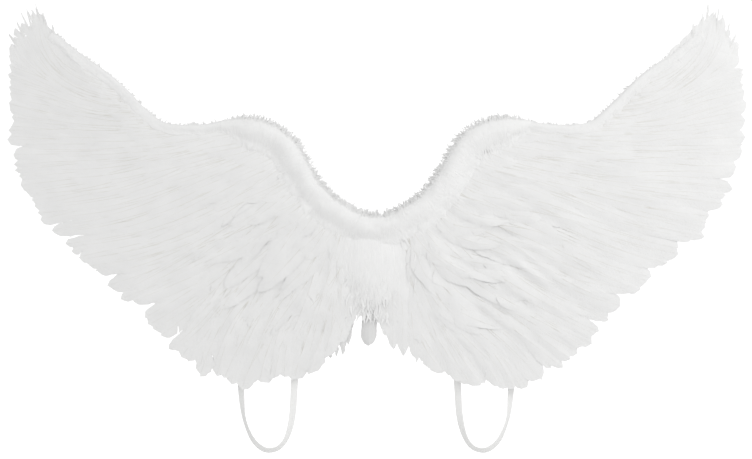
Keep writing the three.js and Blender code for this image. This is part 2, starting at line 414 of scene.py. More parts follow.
def tape_material():
    """Plain-weave cotton tape."""
    n = Nodes("cotton_tape", tint(0.82, 0.02), 0.85, Sheen_Weight=0.15, Sheen_Roughness=0.6)
    warp = n.bands(n.where, "X", 500.0, 0.5)
    weft = n.bands(n.where, "Z", 500.0, 0.5)
    cloudy = n.noise(n.where, 70.0, Detail=2.0)
    return n.drive(
        Base_Color=n.ramp(cloudy, tint(0.85, 0.02), tint(0.89, 0.02)),
        Normal=n.bump(warp, 0.35, 0.0002, n.bump(weft, 0.35, 0.0002)),
    )


def board_material():
    """Grey-white card with visible pulp."""
    n = Nodes("card", (0.78, 0.77, 0.73), 0.8)
    pulp = n.noise(n.where, 400.0, Detail=5.0)
    return n.drive(
        Base_Color=n.ramp(pulp, (0.74, 0.73, 0.69), (0.8, 0.79, 0.76), (0.35, 0.65)),
        Normal=n.bump(pulp, 0.25, 0.0002),
    )


def wire_material():
    """Bare drawn steel wire."""
    n = Nodes("drawn_wire", (0.62, 0.63, 0.64), 0.35, Metallic=1.0)
    drawn = n.noise(n.where, 700.0, Detail=2.0)
    return n.drive(
        Base_Color=n.ramp(drawn, (0.55, 0.56, 0.57), (0.68, 0.69, 0.7)),
        Roughness=n.ramp(drawn, tint(0.28), tint(0.45)),
    )


def thread_material():
    """Twisted polyester thread."""
    n = Nodes("sewing_thread", tint(0.86, 0.02), 0.55, Sheen_Weight=0.2, Sheen_Roughness=0.4)
    ply = n.bands(n.grain, "DIAGONAL", 0.8, 0.3)
    return n.drive(
        Base_Color=n.ramp(ply, tint(0.82, 0.02), tint(0.89, 0.02), (0.0, 1.0)),
        Normal=n.bump(ply, 0.5, 0.0001),
    )


def floor_material():
    """Plain pale backdrop paper."""
    n = Nodes("pale_floor", tint(0.9), 0.9)
    tooth = n.noise(n.where, 3.0, Detail=4.0)
    return n.drive(Base_Color=n.ramp(tooth, tint(0.89), tint(0.91)), Normal=n.bump(tooth, 0.1, 0.0005))


# ---- Tubes and bands ----
def normals_along(line):
    """Two normals at each point of a line, which turn as little as they can."""
    tangent = unit(np.gradient(line, axis=0))
    current = np.array([0.0, 1.0, 0.0])
    current = current - tangent[0] * (current @ tangent[0])
    normals = []
    for along in tangent:
        current = current - along * (current @ along)
        current = current / np.linalg.norm(current)
        normals.append(current)
    normals = np.array(normals)
    return normals, np.cross(tangent, normals)


def add_swept(soup, rings, middles, grain):
    """A closed solid from rings of points with a UV each, and the middles of its first and last ring."""
    count, sides = rings.shape[:2]
    points = np.concatenate([rings.reshape(-1, 3), middles])
    uv = np.concatenate([grain.reshape(-1, 2), np.zeros((2, 2))])
    soup.add(points, quads=grid_faces(count, sides, closed=True), tris=end_fans(count, sides), uv=uv)


def add_tube(soup, line, radius, sides=6):
    """A closed round tube along a line of points."""
    first, second = normals_along(line)
    angle = np.linspace(0, 2 * math.pi, sides, endpoint=False)
    rim = first[:, None] * np.cos(angle)[None, :, None] + second[:, None] * np.sin(angle)[None, :, None]
    along = np.arange(len(line))[:, None] * np.ones((1, sides))
    grain = np.stack([along, angle[None] * np.ones((len(line), 1))], -1)
    add_swept(soup, line[:, None] + rim * radius, line[[0, -1]], grain)


def add_band(soup, centres, widths, places, thick, squeeze):
    """Woven elastic with lengthwise ribs, swept along centres. places says how far along the band they are, and
    squeeze how much its top swells and its underside thins there."""
    samples, ribs, rib_height = 15, 6, 0.07
    depths = np.cross(widths, unit(np.gradient(centres, axis=0)))
    across = np.cos(np.linspace(math.pi, 0, samples)) * STRAP_WIDTH / 2
    edge = np.sqrt(np.clip(1 - np.abs(2 * across / STRAP_WIDTH) ** 6, 0, 1))
    half = edge * (thick / 2 + rib_height * np.cos(2 * math.pi * across / (STRAP_WIDTH / ribs)))
    squeeze = squeeze[:, None]
    top = np.stack([across * np.ones_like(squeeze), half * squeeze], -1)
    low = np.stack([across[::-1] * np.ones_like(squeeze), -half[::-1] / squeeze], -1)
    outline = np.concatenate([top[:, :-1], low[:, :-1]], 1)
    rings = centres[:, None] + widths[:, None] * outline[..., :1] + depths[:, None] * outline[..., 1:2]
    grain = np.stack([outline[..., 0], places[:, None] * np.ones((1, outline.shape[1]))], -1)
    add_swept(soup, rings, centres[[0, -1]], grain)


def strap_turn(shares):
    """The band's turn out of the plane of its loop at shares of its length, in degrees."""
    spread, reach = np.linspace(0, 1, 200), 6
    at, turns = zip(*STRAP_TWIST)
    even = np.pad(np.interp(spread, at, turns), reach, mode="edge")
    window = 2 * reach + 1
    return np.interp(shares, spread, np.convolve(even, np.ones(window) / window, mode="valid"))


def arm_strap(prefix, side, material):
    """One loop of flat elastic. It hangs behind the wing, and turns on itself round the bend."""
    step, thick, crimp = 0.8, 0.95, 0.05
    fine = catmull([(side * u, z) for u, z in STRAP_ROUTE], np.linspace(0, 1, 3000))
    run = distance_along(fine)
    length = run[-1]
    places = np.linspace(0, length, round(length / step))
    flat = [np.interp(places, run, fine[:, k]) for k in range(2)]
    centres = np.stack([flat[0], np.full(len(places), float(STRAP_DEPTH)), flat[1]], -1)
    out = np.array([0.0, 1.0, 0.0])
    inplane = np.cross(unit(np.gradient(centres, axis=0)), out)
    turn = np.radians(strap_turn(places / length)) * side
    widths = inplane * np.cos(turn)[:, None] + out * np.sin(turn)[:, None]
    soup = Soup()
    add_band(soup, centres, widths, places, thick, 1 + crimp * np.cos(math.pi * np.arange(len(places))))
    piece = soup.build(f"{prefix}_elastic_loop", material, sharp=50)
    ride_on(f"{prefix}_strap", piece, f"{prefix}_arm_strap")


# ---- How the feathers lie ----
# Places on each wing as outward, up, and degrees below the outward horizontal.
LIE = {
    "left": [
        (40, 40, 68), (46, 0, 76), (39, -38, 78), (60, -48, 66), (42, -85, 82), (60, 20, 60),
        (88, 29, 42), (114, 38, 30), (138, 45, 27), (204, 53, 25), (243, 57, 21), (116, 5, 41),
        (107, -23, 45), (95, -68, 52), (77, -81, 66), (112, -115, 80), (138, -115, 66), (177, -81, 68),
        (170, -120, 72), (189, -3, 30), (150, -40, 45), (200, -25, 24), (221, -100, 30), (262, 18, 10),
        (250, -60, 24), (305, 122, 0), (318, 20, 8), (372, 177, -12), (345, 205, -45), (390, 120, 0),
        (375, 60, 8), (75, 80, 40), (110, 110, 22), (160, 120, 12), (220, 115, 12), (270, 150, 2),
        (320, 180, -20), (364, 245, -82), (60, -105, 74),
    ],
    "right": [
        (40, 40, 68), (46, 0, 74), (39, -59, 70), (35, -29, 82), (64, -95, 64), (69, -48, 54),
        (75, -16, 34), (77, 5, 38), (107, -5, 14), (144, 50, 10), (133, 35, 6), (129, 14, 5),
        (165, -23, 34), (150, -40, 22), (120, -49, 32), (112, -78, 26), (185, -81, 34), (112, -102, 62),
        (155, -102, 47), (130, -125, 58), (170, -125, 50), (219, -1, 26), (258, -37, 14),
        (225, -75, 25), (258, 44, 20), (181, 10, 20), (193, -16, 32), (311, 39, 14), (294, 86, 0),
        (372, 177, -14), (345, 205, -48), (395, 120, -4), (375, 60, 6), (75, 80, 38), (110, 110, 20),
        (160, 120, 8), (220, 115, 8), (270, 150, -2), (320, 180, -24), (364, 245, -80), (60, 45, 50),
    ],
}


def lie(prefix, points):
    """The way the feathers lie at [outward, up] points, as unit vectors."""
    samples = np.array(LIE[prefix], float)
    points = np.asarray(points, float)
    reach = 14.0
    gap = ((points[..., None, :] - samples[:, :2]) ** 2).sum(-1)
    weight = 1 / (gap + reach**2) ** 1.6
    angle = np.radians(samples[:, 2])
    ways = np.stack([np.cos(angle), -np.sin(angle)], -1)
    return unit((weight[..., None] * ways).sum(-2))


def wing_outline():
    """The outline within which quills start, as [outward, up] points."""
    root = [(34, -95), (34, 46)]
    t = np.linspace(0.03, 1, 60)
    top = leading(t, 14 - 8 * smooth(t, 0.46, 0.56))
    low = flow(np.linspace(1, 0, 60), np.full(60, 0.97))
    return np.concatenate([root, top, low])


OUTLINE = wing_outline()


def inside(point, outline=OUTLINE):
    """True if a point lies within an outline."""
    x, y = point
    a, b = outline, np.roll(outline, -1, axis=0)
    spans = (a[:, 1] > y) != (b[:, 1] > y)
    height = np.where(b[:, 1] == a[:, 1], 1e-9, b[:, 1] - a[:, 1])
    crossing = a[:, 0] + (y - a[:, 1]) * (b[:, 0] - a[:, 0]) / height
    return bool(np.count_nonzero(spans & (x < crossing)) % 2)


def quill_start(prefix, tip, length, turn):
    """Follows the lie of the feathers back from a tip. Returns the start and the bow of the path."""
    steps = 8
    at = np.array(tip, float)
    path = [at]
    cos, sin = math.cos(turn), math.sin(turn)
    for _ in range(steps):
        way = lie(prefix, at)
        way = np.array([way[0] * cos - way[1] * sin, way[0] * sin + way[1] * cos])
        at = at - way * length / steps
        if not inside(at) and len(path) > 2:
            break
        path.append(at)
    path = np.array(path)
    chord = path[0] - path[-1]
    size = np.linalg.norm(chord)
    middle = path[len(path) // 2] - (path[0] + path[-1]) / 2
    bow = (chord[0] * middle[1] - chord[1] * middle[0]) / size**2
    return path[-1], bow


# ---- The bed ----
EDGE_DEPTH = 8.4
ARM_DEPTH = 12.0
FOLD_DEPTH = 11.4
CELL = 3.0  # of the raster that holds the bed's depth
RASTER_CELLS = (136, 152)
RASTER_FLOOR = -170
SKIN_COLUMNS = 46
RIDGE_STEPS = 6
RIDGE_SIZE = {"left": 1.3, "right": 1.1}


def rumpled(u, z):
    """How strongly the feathers curl and stand apart, from 0 to 1: most below the fold of the arm."""
    return 0.1 + 0.9 * np.exp(-(((u - 125) / 95) ** 2) - ((z + 25) / 78) ** 2)


class Bed:
    """The soft face of a wing that its feathers lie on: how far it stands out at [outward, up] points."""

    def __init__(self, prefix, seed):
        self.ridges = self.comb_ridges(prefix, np.random.default_rng(seed))
        self.flat, base = self.lay_out(seed)
        self.depth = base + self.ridges_at(self.flat[..., 0], self.flat[..., 1])
        self.raster = self.rasterise(base)

    def lay_out(self, seed):
        """Places from the fold outward and from the leading edge down, and the depth of each without ridges."""
        rows, shoulder, vane = 96, 14, 44
        t = np.linspace(0, 1, rows)[:, None]
        top = leading(0.03 + 0.955 * t[:, 0], 14 - 9 * smooth(t[:, 0], 0.44, 0.56))[:, None]
        share = np.linspace(0, 1, shoulder)[None, :-1, None]
        over = top * (1 - share) + flow(t[:, 0], np.full(rows, 0.1))[:, None] * share
        run = np.linspace(0.1, 0.95, vane)[None]
        below = flow(t * np.ones((1, vane)), run * np.ones((rows, 1)))
        flat = np.concatenate([over, below], 1)
        slope_over = (ARM_DEPTH + 0.4 - 3.0 * (1 - share[..., 0]) ** 2) * np.ones((rows, 1))
        slope_below = (EDGE_DEPTH + (ARM_DEPTH - EDGE_DEPTH) * (1 - run) * 1.1) * np.ones((rows, 1))
        depth = np.concatenate([slope_over, slope_below], 1)
        u, z = flat[..., 0], flat[..., 1]
        broad = 0.8 * np.sin(u / 31 + seed) * np.cos(z / 24 + 0.7 * seed)
        depth += smooth(u, 38, 80) * (broad + 0.5 * np.sin(u / 17 + z / 21 + seed))
        fold = flat[:1] * [0, 1] + [31, 0]
        return np.concatenate([fold, flat]), np.concatenate([np.minimum(depth[:1], FOLD_DEPTH), depth])

    def rasterise(self, base):
        """The depths of the laid out places on an even raster, from the four nearest of each cell."""
        tree = KDTree(base.size)
        for k, (x, y) in enumerate(self.flat.reshape(-1, 2)):
            tree.insert((x, y, 0), k)
        tree.balance()
        levels = base.ravel()
        raster = np.zeros((*RASTER_CELLS, 1))
        for i, j in np.ndindex(RASTER_CELLS):
            near = tree.find_n((i * CELL, j * CELL + RASTER_FLOOR, 0), 4)
            weights = np.array([1 / (0.3 + gap) for _, _, gap in near])
            raster[i, j, 0] = (weights * levels[[k for _, k, _ in near]]).sum() / weights.sum()
        return raster

    def comb_ridges(self, prefix, rng):
        """Soft ridges drawn out along the lie of the feathers, highest where they are rumpled."""
        rows, columns = RASTER_CELLS
        u, z = np.meshgrid(np.arange(rows) * CELL, np.arange(columns) * CELL + RASTER_FLOOR, indexing="ij")
        noise = rng.normal(size=(rows, columns, 1))
        for axis in (0, 1):
            noise = noise + np.roll(noise, 1, axis) + np.roll(noise, -1, axis)
        total = noise.copy()
        for way in (-1, 1):
            at = np.stack([u, z], -1)
            for _ in range(RIDGE_STEPS):
                at = at + way * CELL * lie(prefix, at)
                total = total + self.read(noise, at[..., 0], at[..., 1])[..., None]
        size = RIDGE_SIZE[prefix] * (0.1 + 0.9 * rumpled(u, z)) * smooth(u, 34, 60)
        return total / total.std() * size[..., None]

    def read(self, raster, u, z):
        """The values of a raster at outward and up places."""
        return on_grid(raster, np.asarray(u) / CELL, (np.asarray(z) - RASTER_FLOOR) / CELL)[..., 0]

    def ridges_at(self, u, z):
        return self.read(self.ridges, u, z)

    def at(self, u, z):
        return self.read(self.raster, u, z) + self.ridges_at(u, z)

    def drape(self, points):
        """Moves points in the row frame out by the bed's depth."""
        points = points.copy()
        points[..., 1] -= self.at(np.abs(points[..., 0]), points[..., 2])
        return points

    def build(self, name, side, material):
        """The inner part of the bed as a thin closed skin just below the feathers."""
        flat, depth = self.flat[:, :SKIN_COLUMNS], self.depth[:, :SKIN_COLUMNS]
        rows, columns = depth.shape
        front = np.stack([side * flat[..., 0], 0.95 - depth, flat[..., 1]], -1).reshape(-1, 3)
        back = front + [0, 0.9, 0]
        faces = sheet_faces(rows, columns)
        soup = Soup()
        soup.add(np.concatenate([front, back]), quads=faces if side > 0 else faces[:, ::-1])
        return soup.build(name, material)


# ---- Feathers ----
BROAD = {
    "rows": 24, "columns": 4, "panels": 3, "bend": 0.0, "cup": -0.2, "twist": 0.0, "bow": 0.0, "ragged": 0.12,
    "rise": 0.36, "start": 0.3, "blunt": 0.55, "point": 0.5, "ripple": 0.9, "spread": 0.05, "thick": 0.3,
    "dip": 0.5, "loose": 0.1,
}


def tip_dip(shape, q):
    """How far a feather dips at shares q of its length, all of it near the tip."""
    return shape["dip"] * np.clip((q - 0.6) / 0.4, 0, 1.2) ** 2


def vane_half(rng, side, length, width, shape):
    """One half of a vane as closed panels of barbs: x across, y along and z out of the vane, in mm."""
    rows, columns = shape["rows"], shape["columns"]
    half = width / 2
    sweep = min(1.3 * half, 0.32 * length)
    cuts = np.sort(rng.uniform(0.15, 0.95, shape["panels"] - 1))
    bounds = np.concatenate([[0.0], cuts, [1.0]])
    phase = rng.uniform(0, 2 * math.pi, 3)
    ripple = shape["ripple"] * rng.uniform(0.5, 1.3)
    place_in_texture = rng.uniform(0, 400, 2)
    wave = rng.uniform(0.05, 0.12)
    pieces = []
    for k in range(len(bounds) - 1):
        count = max(3, round(rows * (bounds[k + 1] - bounds[k])) + 1)
        r = np.linspace(bounds[k], bounds[k + 1], count)[:, None]
        c = np.linspace(0, 1, columns)[None, :]
        rise = 1 - (1 - shape["start"]) * (1 - np.clip(r / shape["rise"], 0, 1)) ** 2
        beyond = np.clip(r - shape["blunt"], 0, 1) / (1 - shape["blunt"])
        fall = np.clip(1 - beyond**2, 0, 1) ** shape["point"]
        uneven = 1 + wave * np.sin(phase[0] + 5.5 * r) + 0.5 * wave * np.sin(phase[1] + 13 * r)
        worn = 1 - shape["ragged"] * rng.random((count, 1)) * (0.3 + 0.7 * r)
        reach = half * rise * fall * uneven * worn
        lean = rng.normal(0, shape["spread"]) * (1 if k else 0.3)
        base = 0.94 * length * r
        edge = sweep + (length - sweep) * r + length * lean * (1 - 0.6 * r)
        x = side * (reach * c + 0.15 * (1 - r))
        y = base + (edge - base) * c**1.35
        q = np.clip(y / length, 0, 1.1)
        z = shape["cup"] * half * c**2 * (0.4 + 0.6 * fall)
        z = z + ripple * np.sin(phase[2] + 7.0 * r) * c**1.5 * (0.35 + 0.65 * q)
        z = z + rng.normal(0, shape["loose"]) * c + shape["twist"] * x * q
        z = z + shape["bend"] * length * q**2 - tip_dip(shape, q)
        x = x + shape["bow"] * length * 4 * q * (1 - q)
        thick = (shape["thick"] - 0.4 * shape["thick"] * c) * np.ones_like(r)
        full = np.ones_like(x)
        top = np.stack([x, y * full, z + thick / 2], -1).reshape(-1, 3)
        bottom = np.stack([x, y * full, z - thick / 2], -1).reshape(-1, 3)
        faces = sheet_faces(count, columns)
        if side < 0:
            faces = faces[:, ::-1]
        grain = np.stack([c * half * np.ones_like(r), base * np.ones_like(c)], -1)
        grain = grain.reshape(-1, 2) + place_in_texture
        pieces.append((np.concatenate([top, bottom]), faces, np.concatenate([grain, grain])))
    return pieces


def rachis(length, width, shape):
    """The quill and shaft of a feather, as a closed tapered tube on the same bends as the vane."""
    steps, sides = 9, 5
    y = np.linspace(-0.08, 0.96, steps)[:, None]
    q = np.clip(y, 0, 1)
    radius = (0.32 + 0.009 * width) * (1 - 0.85 * q)
    angle = np.linspace(0, 2 * math.pi, sides, endpoint=False)[None, :]
    x = radius * np.cos(angle) + shape["bow"] * length * 4 * q * (1 - q)
    z = radius * np.sin(angle) + shape["bend"] * length * q**2 - tip_dip(shape, q)
    points = np.stack([x, y * length * np.ones_like(x), z], -1).reshape(-1, 3)
    quads = grid_faces(steps, sides, closed=True)[:, ::-1]
    middles = [points[:sides].mean(0), points[-sides:].mean(0)]
    return np.concatenate([points, middles]), quads, end_fans(steps, sides)[:, [1, 0, 2]]


def add_feather(soup, shafts, rng, root, tip, width, depth, shape, roll=0.0, bed=None):
    """A feather from root to tip, both [x, up]. depth says how far its root and its tip stand out towards
    -Y, from the bed if there is one."""
    a = np.array([root[0], -depth[0], root[1]], float)
    b = np.array([tip[0], -depth[1], tip[1]], float)
    length = float(np.linalg.norm(b - a))
    along = unit(b - a)
    across = unit(np.cross(along, np.array([0.0, -1.0, 0.0])))
    out = np.cross(across, along)
    across = across * math.cos(roll) + out * math.sin(roll)
    out = unit(np.cross(across, along))
    for side in (-1, 1):
        for points, faces, grain in vane_half(rng, side, length, width, shape):
            made = place(points, a, across, along, out)
            soup.add(made if bed is None else bed.drape(made), quads=faces, uv=grain)
    if shafts is not None:
        points, quads, tris = rachis(length, width, shape)
        made = place(points, a, across, along, out)
        shafts.add(made if bed is None else bed.drape(made), quads=quads, tris=tris)


# ---- Fine fibres ----
def add_fibres(soup, rng, roots, directions, lengths, radius, curl):
    """Curved tapered hairs with three sides, each closed."""
    segments = 4
    roots, directions = np.asarray(roots, float), unit(directions)
    count = len(roots)
    helper = unit(rng.normal(size=(count, 3)))
    sideways = unit(np.cross(directions, helper))
    other = np.cross(sideways, directions)
    lengths = lengths[:, None]
    bend = curl * rng.normal(size=(count, 1))
    wave = rng.uniform(0, 2 * math.pi, (count, 1))
    rings = []
    for k in range(segments + 1):
        s = k / segments
        at = roots + directions * lengths * s
        at = at + sideways * bend * lengths * s * s
        at = at + other * 0.07 * lengths * math.sin(math.pi * s) * np.sin(wave + 3 * s)
        if k == segments:
            rings.append(at[:, None, :])
            continue
        r = radius * (1 - 0.75 * s)
        corners = []
        for angle in (math.pi / 2, math.pi * 7 / 6, math.pi * 11 / 6):
            corners.append(at + r * (math.cos(angle) * sideways + math.sin(angle) * other))
        rings.append(np.stack(corners, 1))
    points = np.concatenate(rings, 1)
    per = 3 * segments + 1
    quads, tris = [], [[0, 1, 2]]
    for k in range(segments - 1):
        for j in range(3):
            n = (j + 1) % 3
            quads.append([3 * k + n, 3 * k + j, 3 * k + 3 + j, 3 * k + 3 + n])
    for j in range(3):
        tris.append([3 * (segments - 1) + (j + 1) % 3, 3 * (segments - 1) + j, per - 1])
    offsets = (np.arange(count) * per)[:, None, None]
    quads, tris = np.array(quads)[None] + offsets, np.array(tris)[None] + offsets
    soup.add(points.reshape(-1, 3), quads=quads, tris=tris)


# ---- Rows of feathers ----
# CAD node, stretch of the arm line, share of the run where the tips lie, spacing, width and length in mm.
ROWS = [
    ("primary_feathers", 0.47, 1.0, 1.0, 8, 21, 100),
    ("primary_feathers", 0.46, 0.985, 0.88, 10, 22, 100),
    ("secondary_feathers", 0.0, 0.46, 1.0, 8, 21, 100),
    ("secondary_feathers", 0.0, 0.45, 0.88, 10, 22, 100),
    ("greater_coverts", 0.0, 0.97, 0.7, 10, 21, 100),
    ("median_coverts", 0.0, 0.95, 0.5, 10, 21, 90),
    ("lesser_coverts", 0.0, 0.93, 0.28, 10, 20, 76),
    ("lesser_coverts", 0.0, 0.93, 0.14, 10, 20, 66),
]
EDGE_WANDER = 0.019  # how far the outer tips wander, as a share of the run
# The soft feathers above the arm line: share of the way from the leading edge, spacing, width and length.
SHOULDER_ROWS = [(1.0, 10, 20, 60), (0.66, 10, 19, 54), (0.33, 9.5, 18, 44)]


def stations(points_at, start, end, spacing):
    """Values between start and end whose points lie about a spacing apart."""
    t = np.linspace(start, end, 400)
    points = points_at(t)
    run = distance_along(points)
    count = max(2, round(run[-1] / spacing))
    return np.interp(np.linspace(0, run[-1], count), run, t)


def shoulder_point(t, share):
    """A point between the leading edge and the coverts."""
    t = np.asarray(t, float)
    top = leading(0.03 + 0.9 * t, np.full(t.shape, 4.0))
    low = flow(t, np.full(t.shape, 0.13))
    return top * (1 - share) + low * share


def covert_shape(rng, rumple):
    """A feather shape with its own bend and curl. rumple is how strongly its edges lift."""
    shape = dict(BROAD)
    shape["bend"] = rng.normal(0.0, 0.004) * rumple
    shape["cup"] = rng.normal(-0.055, 0.05 * rumple**1.5)
    shape["twist"] = rng.normal(0, 0.03) * rumple**1.5
    shape["ragged"] = rng.uniform(0.03, 0.1) + 0.08 * rumple
    shape["ripple"] = 0.03 + 0.22 * rumple**1.5
    shape["blunt"] = rng.uniform(0.3, 0.55)
    shape["point"] = rng.uniform(0.45, 0.7)
    shape["spread"] = 0.01 + 0.03 * rumple
    shape["thick"] = 0.16 + 0.06 * rumple
    shape["dip"] = rng.uniform(0.4, 0.8)
    shape["loose"] = 0.01 + 0.06 * rumple
    shape["panels"] = int(rng.integers(2, 4)) if rumple > 0.4 else int(rng.integers(1, 3))
    return shape


def feather_rows(prefix, side, seed, bed, vane, quill):
    """All the vaned feathers of a wing, one piece for each CAD row, and the quills as one more."""
    rng = np.random.default_rng(seed)
    soups, shafts = {}, Soup()

    def put(node, tip, size, length, edge=False):
        rumple = float(rumpled(*tip))
        turn = rng.normal(0, math.radians(2 + 7 * rumple))
        start, bow = quill_start(prefix, tip, length, turn)
        true_length = np.linalg.norm(np.asarray(tip) - start)
        size = size * min(1.0, 0.5 + 0.5 * true_length / length)
        shape = covert_shape(rng, rumple)
        shape["bow"] = -side * bow + rng.normal(0, 0.012)
        if edge:
            shape["blunt"] = rng.uniform(0.66, 0.86)
            shape["point"] = rng.uniform(0.36, 0.52)
            shape["ragged"] = rng.uniform(0.08, 0.25)
            shape["panels"] = int(rng.integers(2, 5))
        roll = side * math.radians(0.9 + 1.2 * rumple) + rng.normal(0, math.radians(0.3 + 0.9 * rumple))
        depth = (-0.5, 0.35 + 0.5 * rumple + rng.normal(0, 0.05 + 0.12 * rumple))
        soup = soups.setdefault(node, Soup())
        root, end = (side * start[0], start[1]), (side * tip[0], tip[1])
        add_feather(soup, shafts, rng, root, end, size, depth, shape, roll, bed)

    for node, start, end, s_tip, spacing, width, length in ROWS:
        edge = s_tip == 1.0
        wander = rng.normal(0, EDGE_WANDER, 80)
        for t in stations(lambda v: flow(v, np.full(v.shape, s_tip)), start, end, spacing):
            loose = rumpled(*flow(t, s_tip)) if s_tip < 1 else 0.0
            t_here = float(np.clip(t + rng.normal(0, 0.006), 0, 1))
            s_here = s_tip + rng.normal(0, 0.014 + 0.04 * loose)
            if edge:
                s_here += np.interp(t * 26, np.arange(80), wander) - EDGE_WANDER
            tip = flow(t_here, s_here)
            size = width * (rng.uniform(0.6, 1.3) if edge else rng.uniform(0.82, 1.15))
            put(node, tip, size, length * rng.uniform(0.85, 1.1), edge)
    for share, spacing, width, length in SHOULDER_ROWS:
        for t in stations(lambda v: shoulder_point(v, share), 0.03, 0.99, spacing):
            tip = shoulder_point(t + rng.normal(0, 0.005), share + rng.normal(0, 0.04))
            put("shoulder_feathers", tip, width * rng.uniform(0.85, 1.1), length * rng.uniform(0.9, 1.1))
    for node, soup in soups.items():
        piece = soup.build(f"{prefix}_{node}_vanes", vane, sharp=60)
        ride_on(f"{prefix}_wing", piece, f"{prefix}_{node}")
    ride_on(f"{prefix}_wing", shafts.build(f"{prefix}_quills", quill))


# Upright feathers at the wing tip: root, tip and width.
TIP_FEATHERS = [
    ((306, 182), (330, 229), 17), ((318, 184), (338, 238), 17), ((328, 186), (346, 247), 16),
    ((370, 178), (389, 229), 17), ((364, 180), (382, 243), 16), ((340, 186), (355, 256), 16),
    ((356, 184), (374, 254), 16), ((348, 188), (365, 262), 15),
]
TIP_SHIFT = {"left": 8, "right": 0}
TIP_SPIKES = [
    ((352, 226), (353, 263), 4), ((356, 230), (361, 271), 5), ((362, 232), (368, 266), 4),
    ((368, 228), (376, 262), 4), ((374, 222), (383, 253), 4), ((378, 214), (390, 240), 5),
    ((344, 222), (342, 249), 4), ((366, 222), (371, 269), 3),
]


def tip_feathers(prefix, side, seed, bed, vane, quill):
    """Narrow feathers with open barbs that stand up at the wing's tip."""
    rng = np.random.default_rng(seed)
    soup, shafts = Soup(), Soup()
    for k, (root, tip, width) in enumerate(TIP_FEATHERS + TIP_SPIKES):
        shape = covert_shape(rng, 0.25)
        shape.update(panels=4, spread=0.05, ragged=0.2, rise=0.3, rows=30)
        if k >= len(TIP_FEATHERS):
            shape.update(panels=3, spread=0.08, ragged=0.45, blunt=0.2)
        depth = (-1.6 + 0.05 * k, 0.15 + 0.06 * k)
        reach = (side * (tip[0] + TIP_SHIFT[prefix] + rng.normal(0, 0.8)), tip[1] + rng.normal(0, 1.0))
        start, roll = (side * root[0], root[1]), rng.normal(0, 0.05)
        add_feather(soup, shafts, rng, start, reach, width, depth, shape, roll, bed)
    piece = soup.build(f"{prefix}_tip_feather_vanes", vane, sharp=60)
    ride_on(f"{prefix}_wing", piece, f"{prefix}_tip_feathers")
    ride_on(f"{prefix}_wing", shafts.build(f"{prefix}_tip_quills", quill))


# ---- Down ----
class Skin:
    """The surface of a soft body as a grid of points, closed behind, that locks and hairs grow from.
    facing is the sign of Y on the side it shows."""

    def __init__(self, grid, bumps, facing=-1):
        normals = unit(np.cross(np.gradient(grid, axis=1), np.gradient(grid, axis=0)))
        self.flip = normals[..., 1].mean() * facing < 0
        self.normals = -normals if self.flip else normals
        self.grid = grid + self.normals * bumps[..., None]

    def add_core(self, soup, part=slice(None), backed=False):
        """The closed body of some of the columns; backed adds a straight back behind them."""
        grid = self.grid[:, part]
        if backed:
            back = grid[:, [0, -1]].copy()
            back[..., 1] = grid[..., 1].max(1, keepdims=True) + 1.5
            grid = np.concatenate([back[:, :1], grid, back[:, 1:]], 1)
        rows, columns = grid.shape[:2]
        quads, tris = grid_faces(rows, columns, closed=True), end_fans(rows, columns)
        if self.flip:
            quads, tris = quads[:, ::-1], tris[:, ::-1]
        soup.add(np.concatenate([grid.reshape(-1, 3), grid[[0, -1]].mean(1)]), quads=quads, tris=tris)

    def path(self, i, j, lift):
        normals = unit(on_grid(self.normals, i, j))
        return on_grid(self.grid, i, j) + normals * lift[..., None], normals


def add_locks(soup, paths, normals, half_widths, heights):
    """Soft closed ridges along paths on a surface, each with a crest, two low edges and a keel below."""
    count, steps = paths.shape[:2]
    across = unit(np.cross(unit(np.gradient(paths, axis=1)), normals))
    full = np.sin(math.pi * np.linspace(0.12, 0.94, steps))[None, :, None]
    wide = across * half_widths[:, None, None] * full
    high = normals * heights[:, None, None] * full
    low = 0.3 * high
    corners = np.stack([paths - wide - low, paths + high, paths + wide - low, paths - 1.2 * high], 2)
    caps = np.array([[3, 2, 1, 0], [4 * steps - 4, 4 * steps - 3, 4 * steps - 2, 4 * steps - 1]])
    quads = np.concatenate([grid_faces(steps, 4, closed=True), caps])
    soup.add(corners.reshape(-1, 3), quads=quads[None] + (np.arange(count) * 4 * steps)[:, None, None])


FRONT = np.array([0.0, -1.0, 0.0])
ROLL_RADIUS = 8.0
EDGE_RADIUS = 2.6
LOCK_STEPS = 7
LOCK_RUN = np.linspace(0, 1, LOCK_STEPS)[None]
CREASE = 65  # degrees between faces above which an edge of the down stays sharp

# The marabou's section as [inward, out] in radii, from behind, up the slope at the wing's edge, over and in.
ROLL_SECTION = [
    (-0.45, -0.9), (-0.9, -0.8), (-1.2, -0.45), (-1.0, 0.08), (-0.62, 0.56), (-0.02, 0.87), (0.72, 0.87),
    (1.45, 0.58), (2.15, 0.22), (2.85, -0.1), (3.5, -0.45),
]
ROLL_BACK = [(2.3, -0.7), (1.2, -0.9), (0.3, -1.08), (-0.4, -1.04), (-0.95, -0.84), (-1.2, -0.4)]
ROLL_COLUMNS, BACK_COLUMNS = 34, 16


def roll_profile(section, columns):
    """Evenly spaced points of a section of the marabou, and its length in radii."""
    points = catmull(section, np.linspace(0, 1, 200))
    run = distance_along(points)
    even = np.linspace(0, run[-1], columns)
    return np.stack([np.interp(even, run, points[:, k]) for k in range(2)], -1), run[-1]


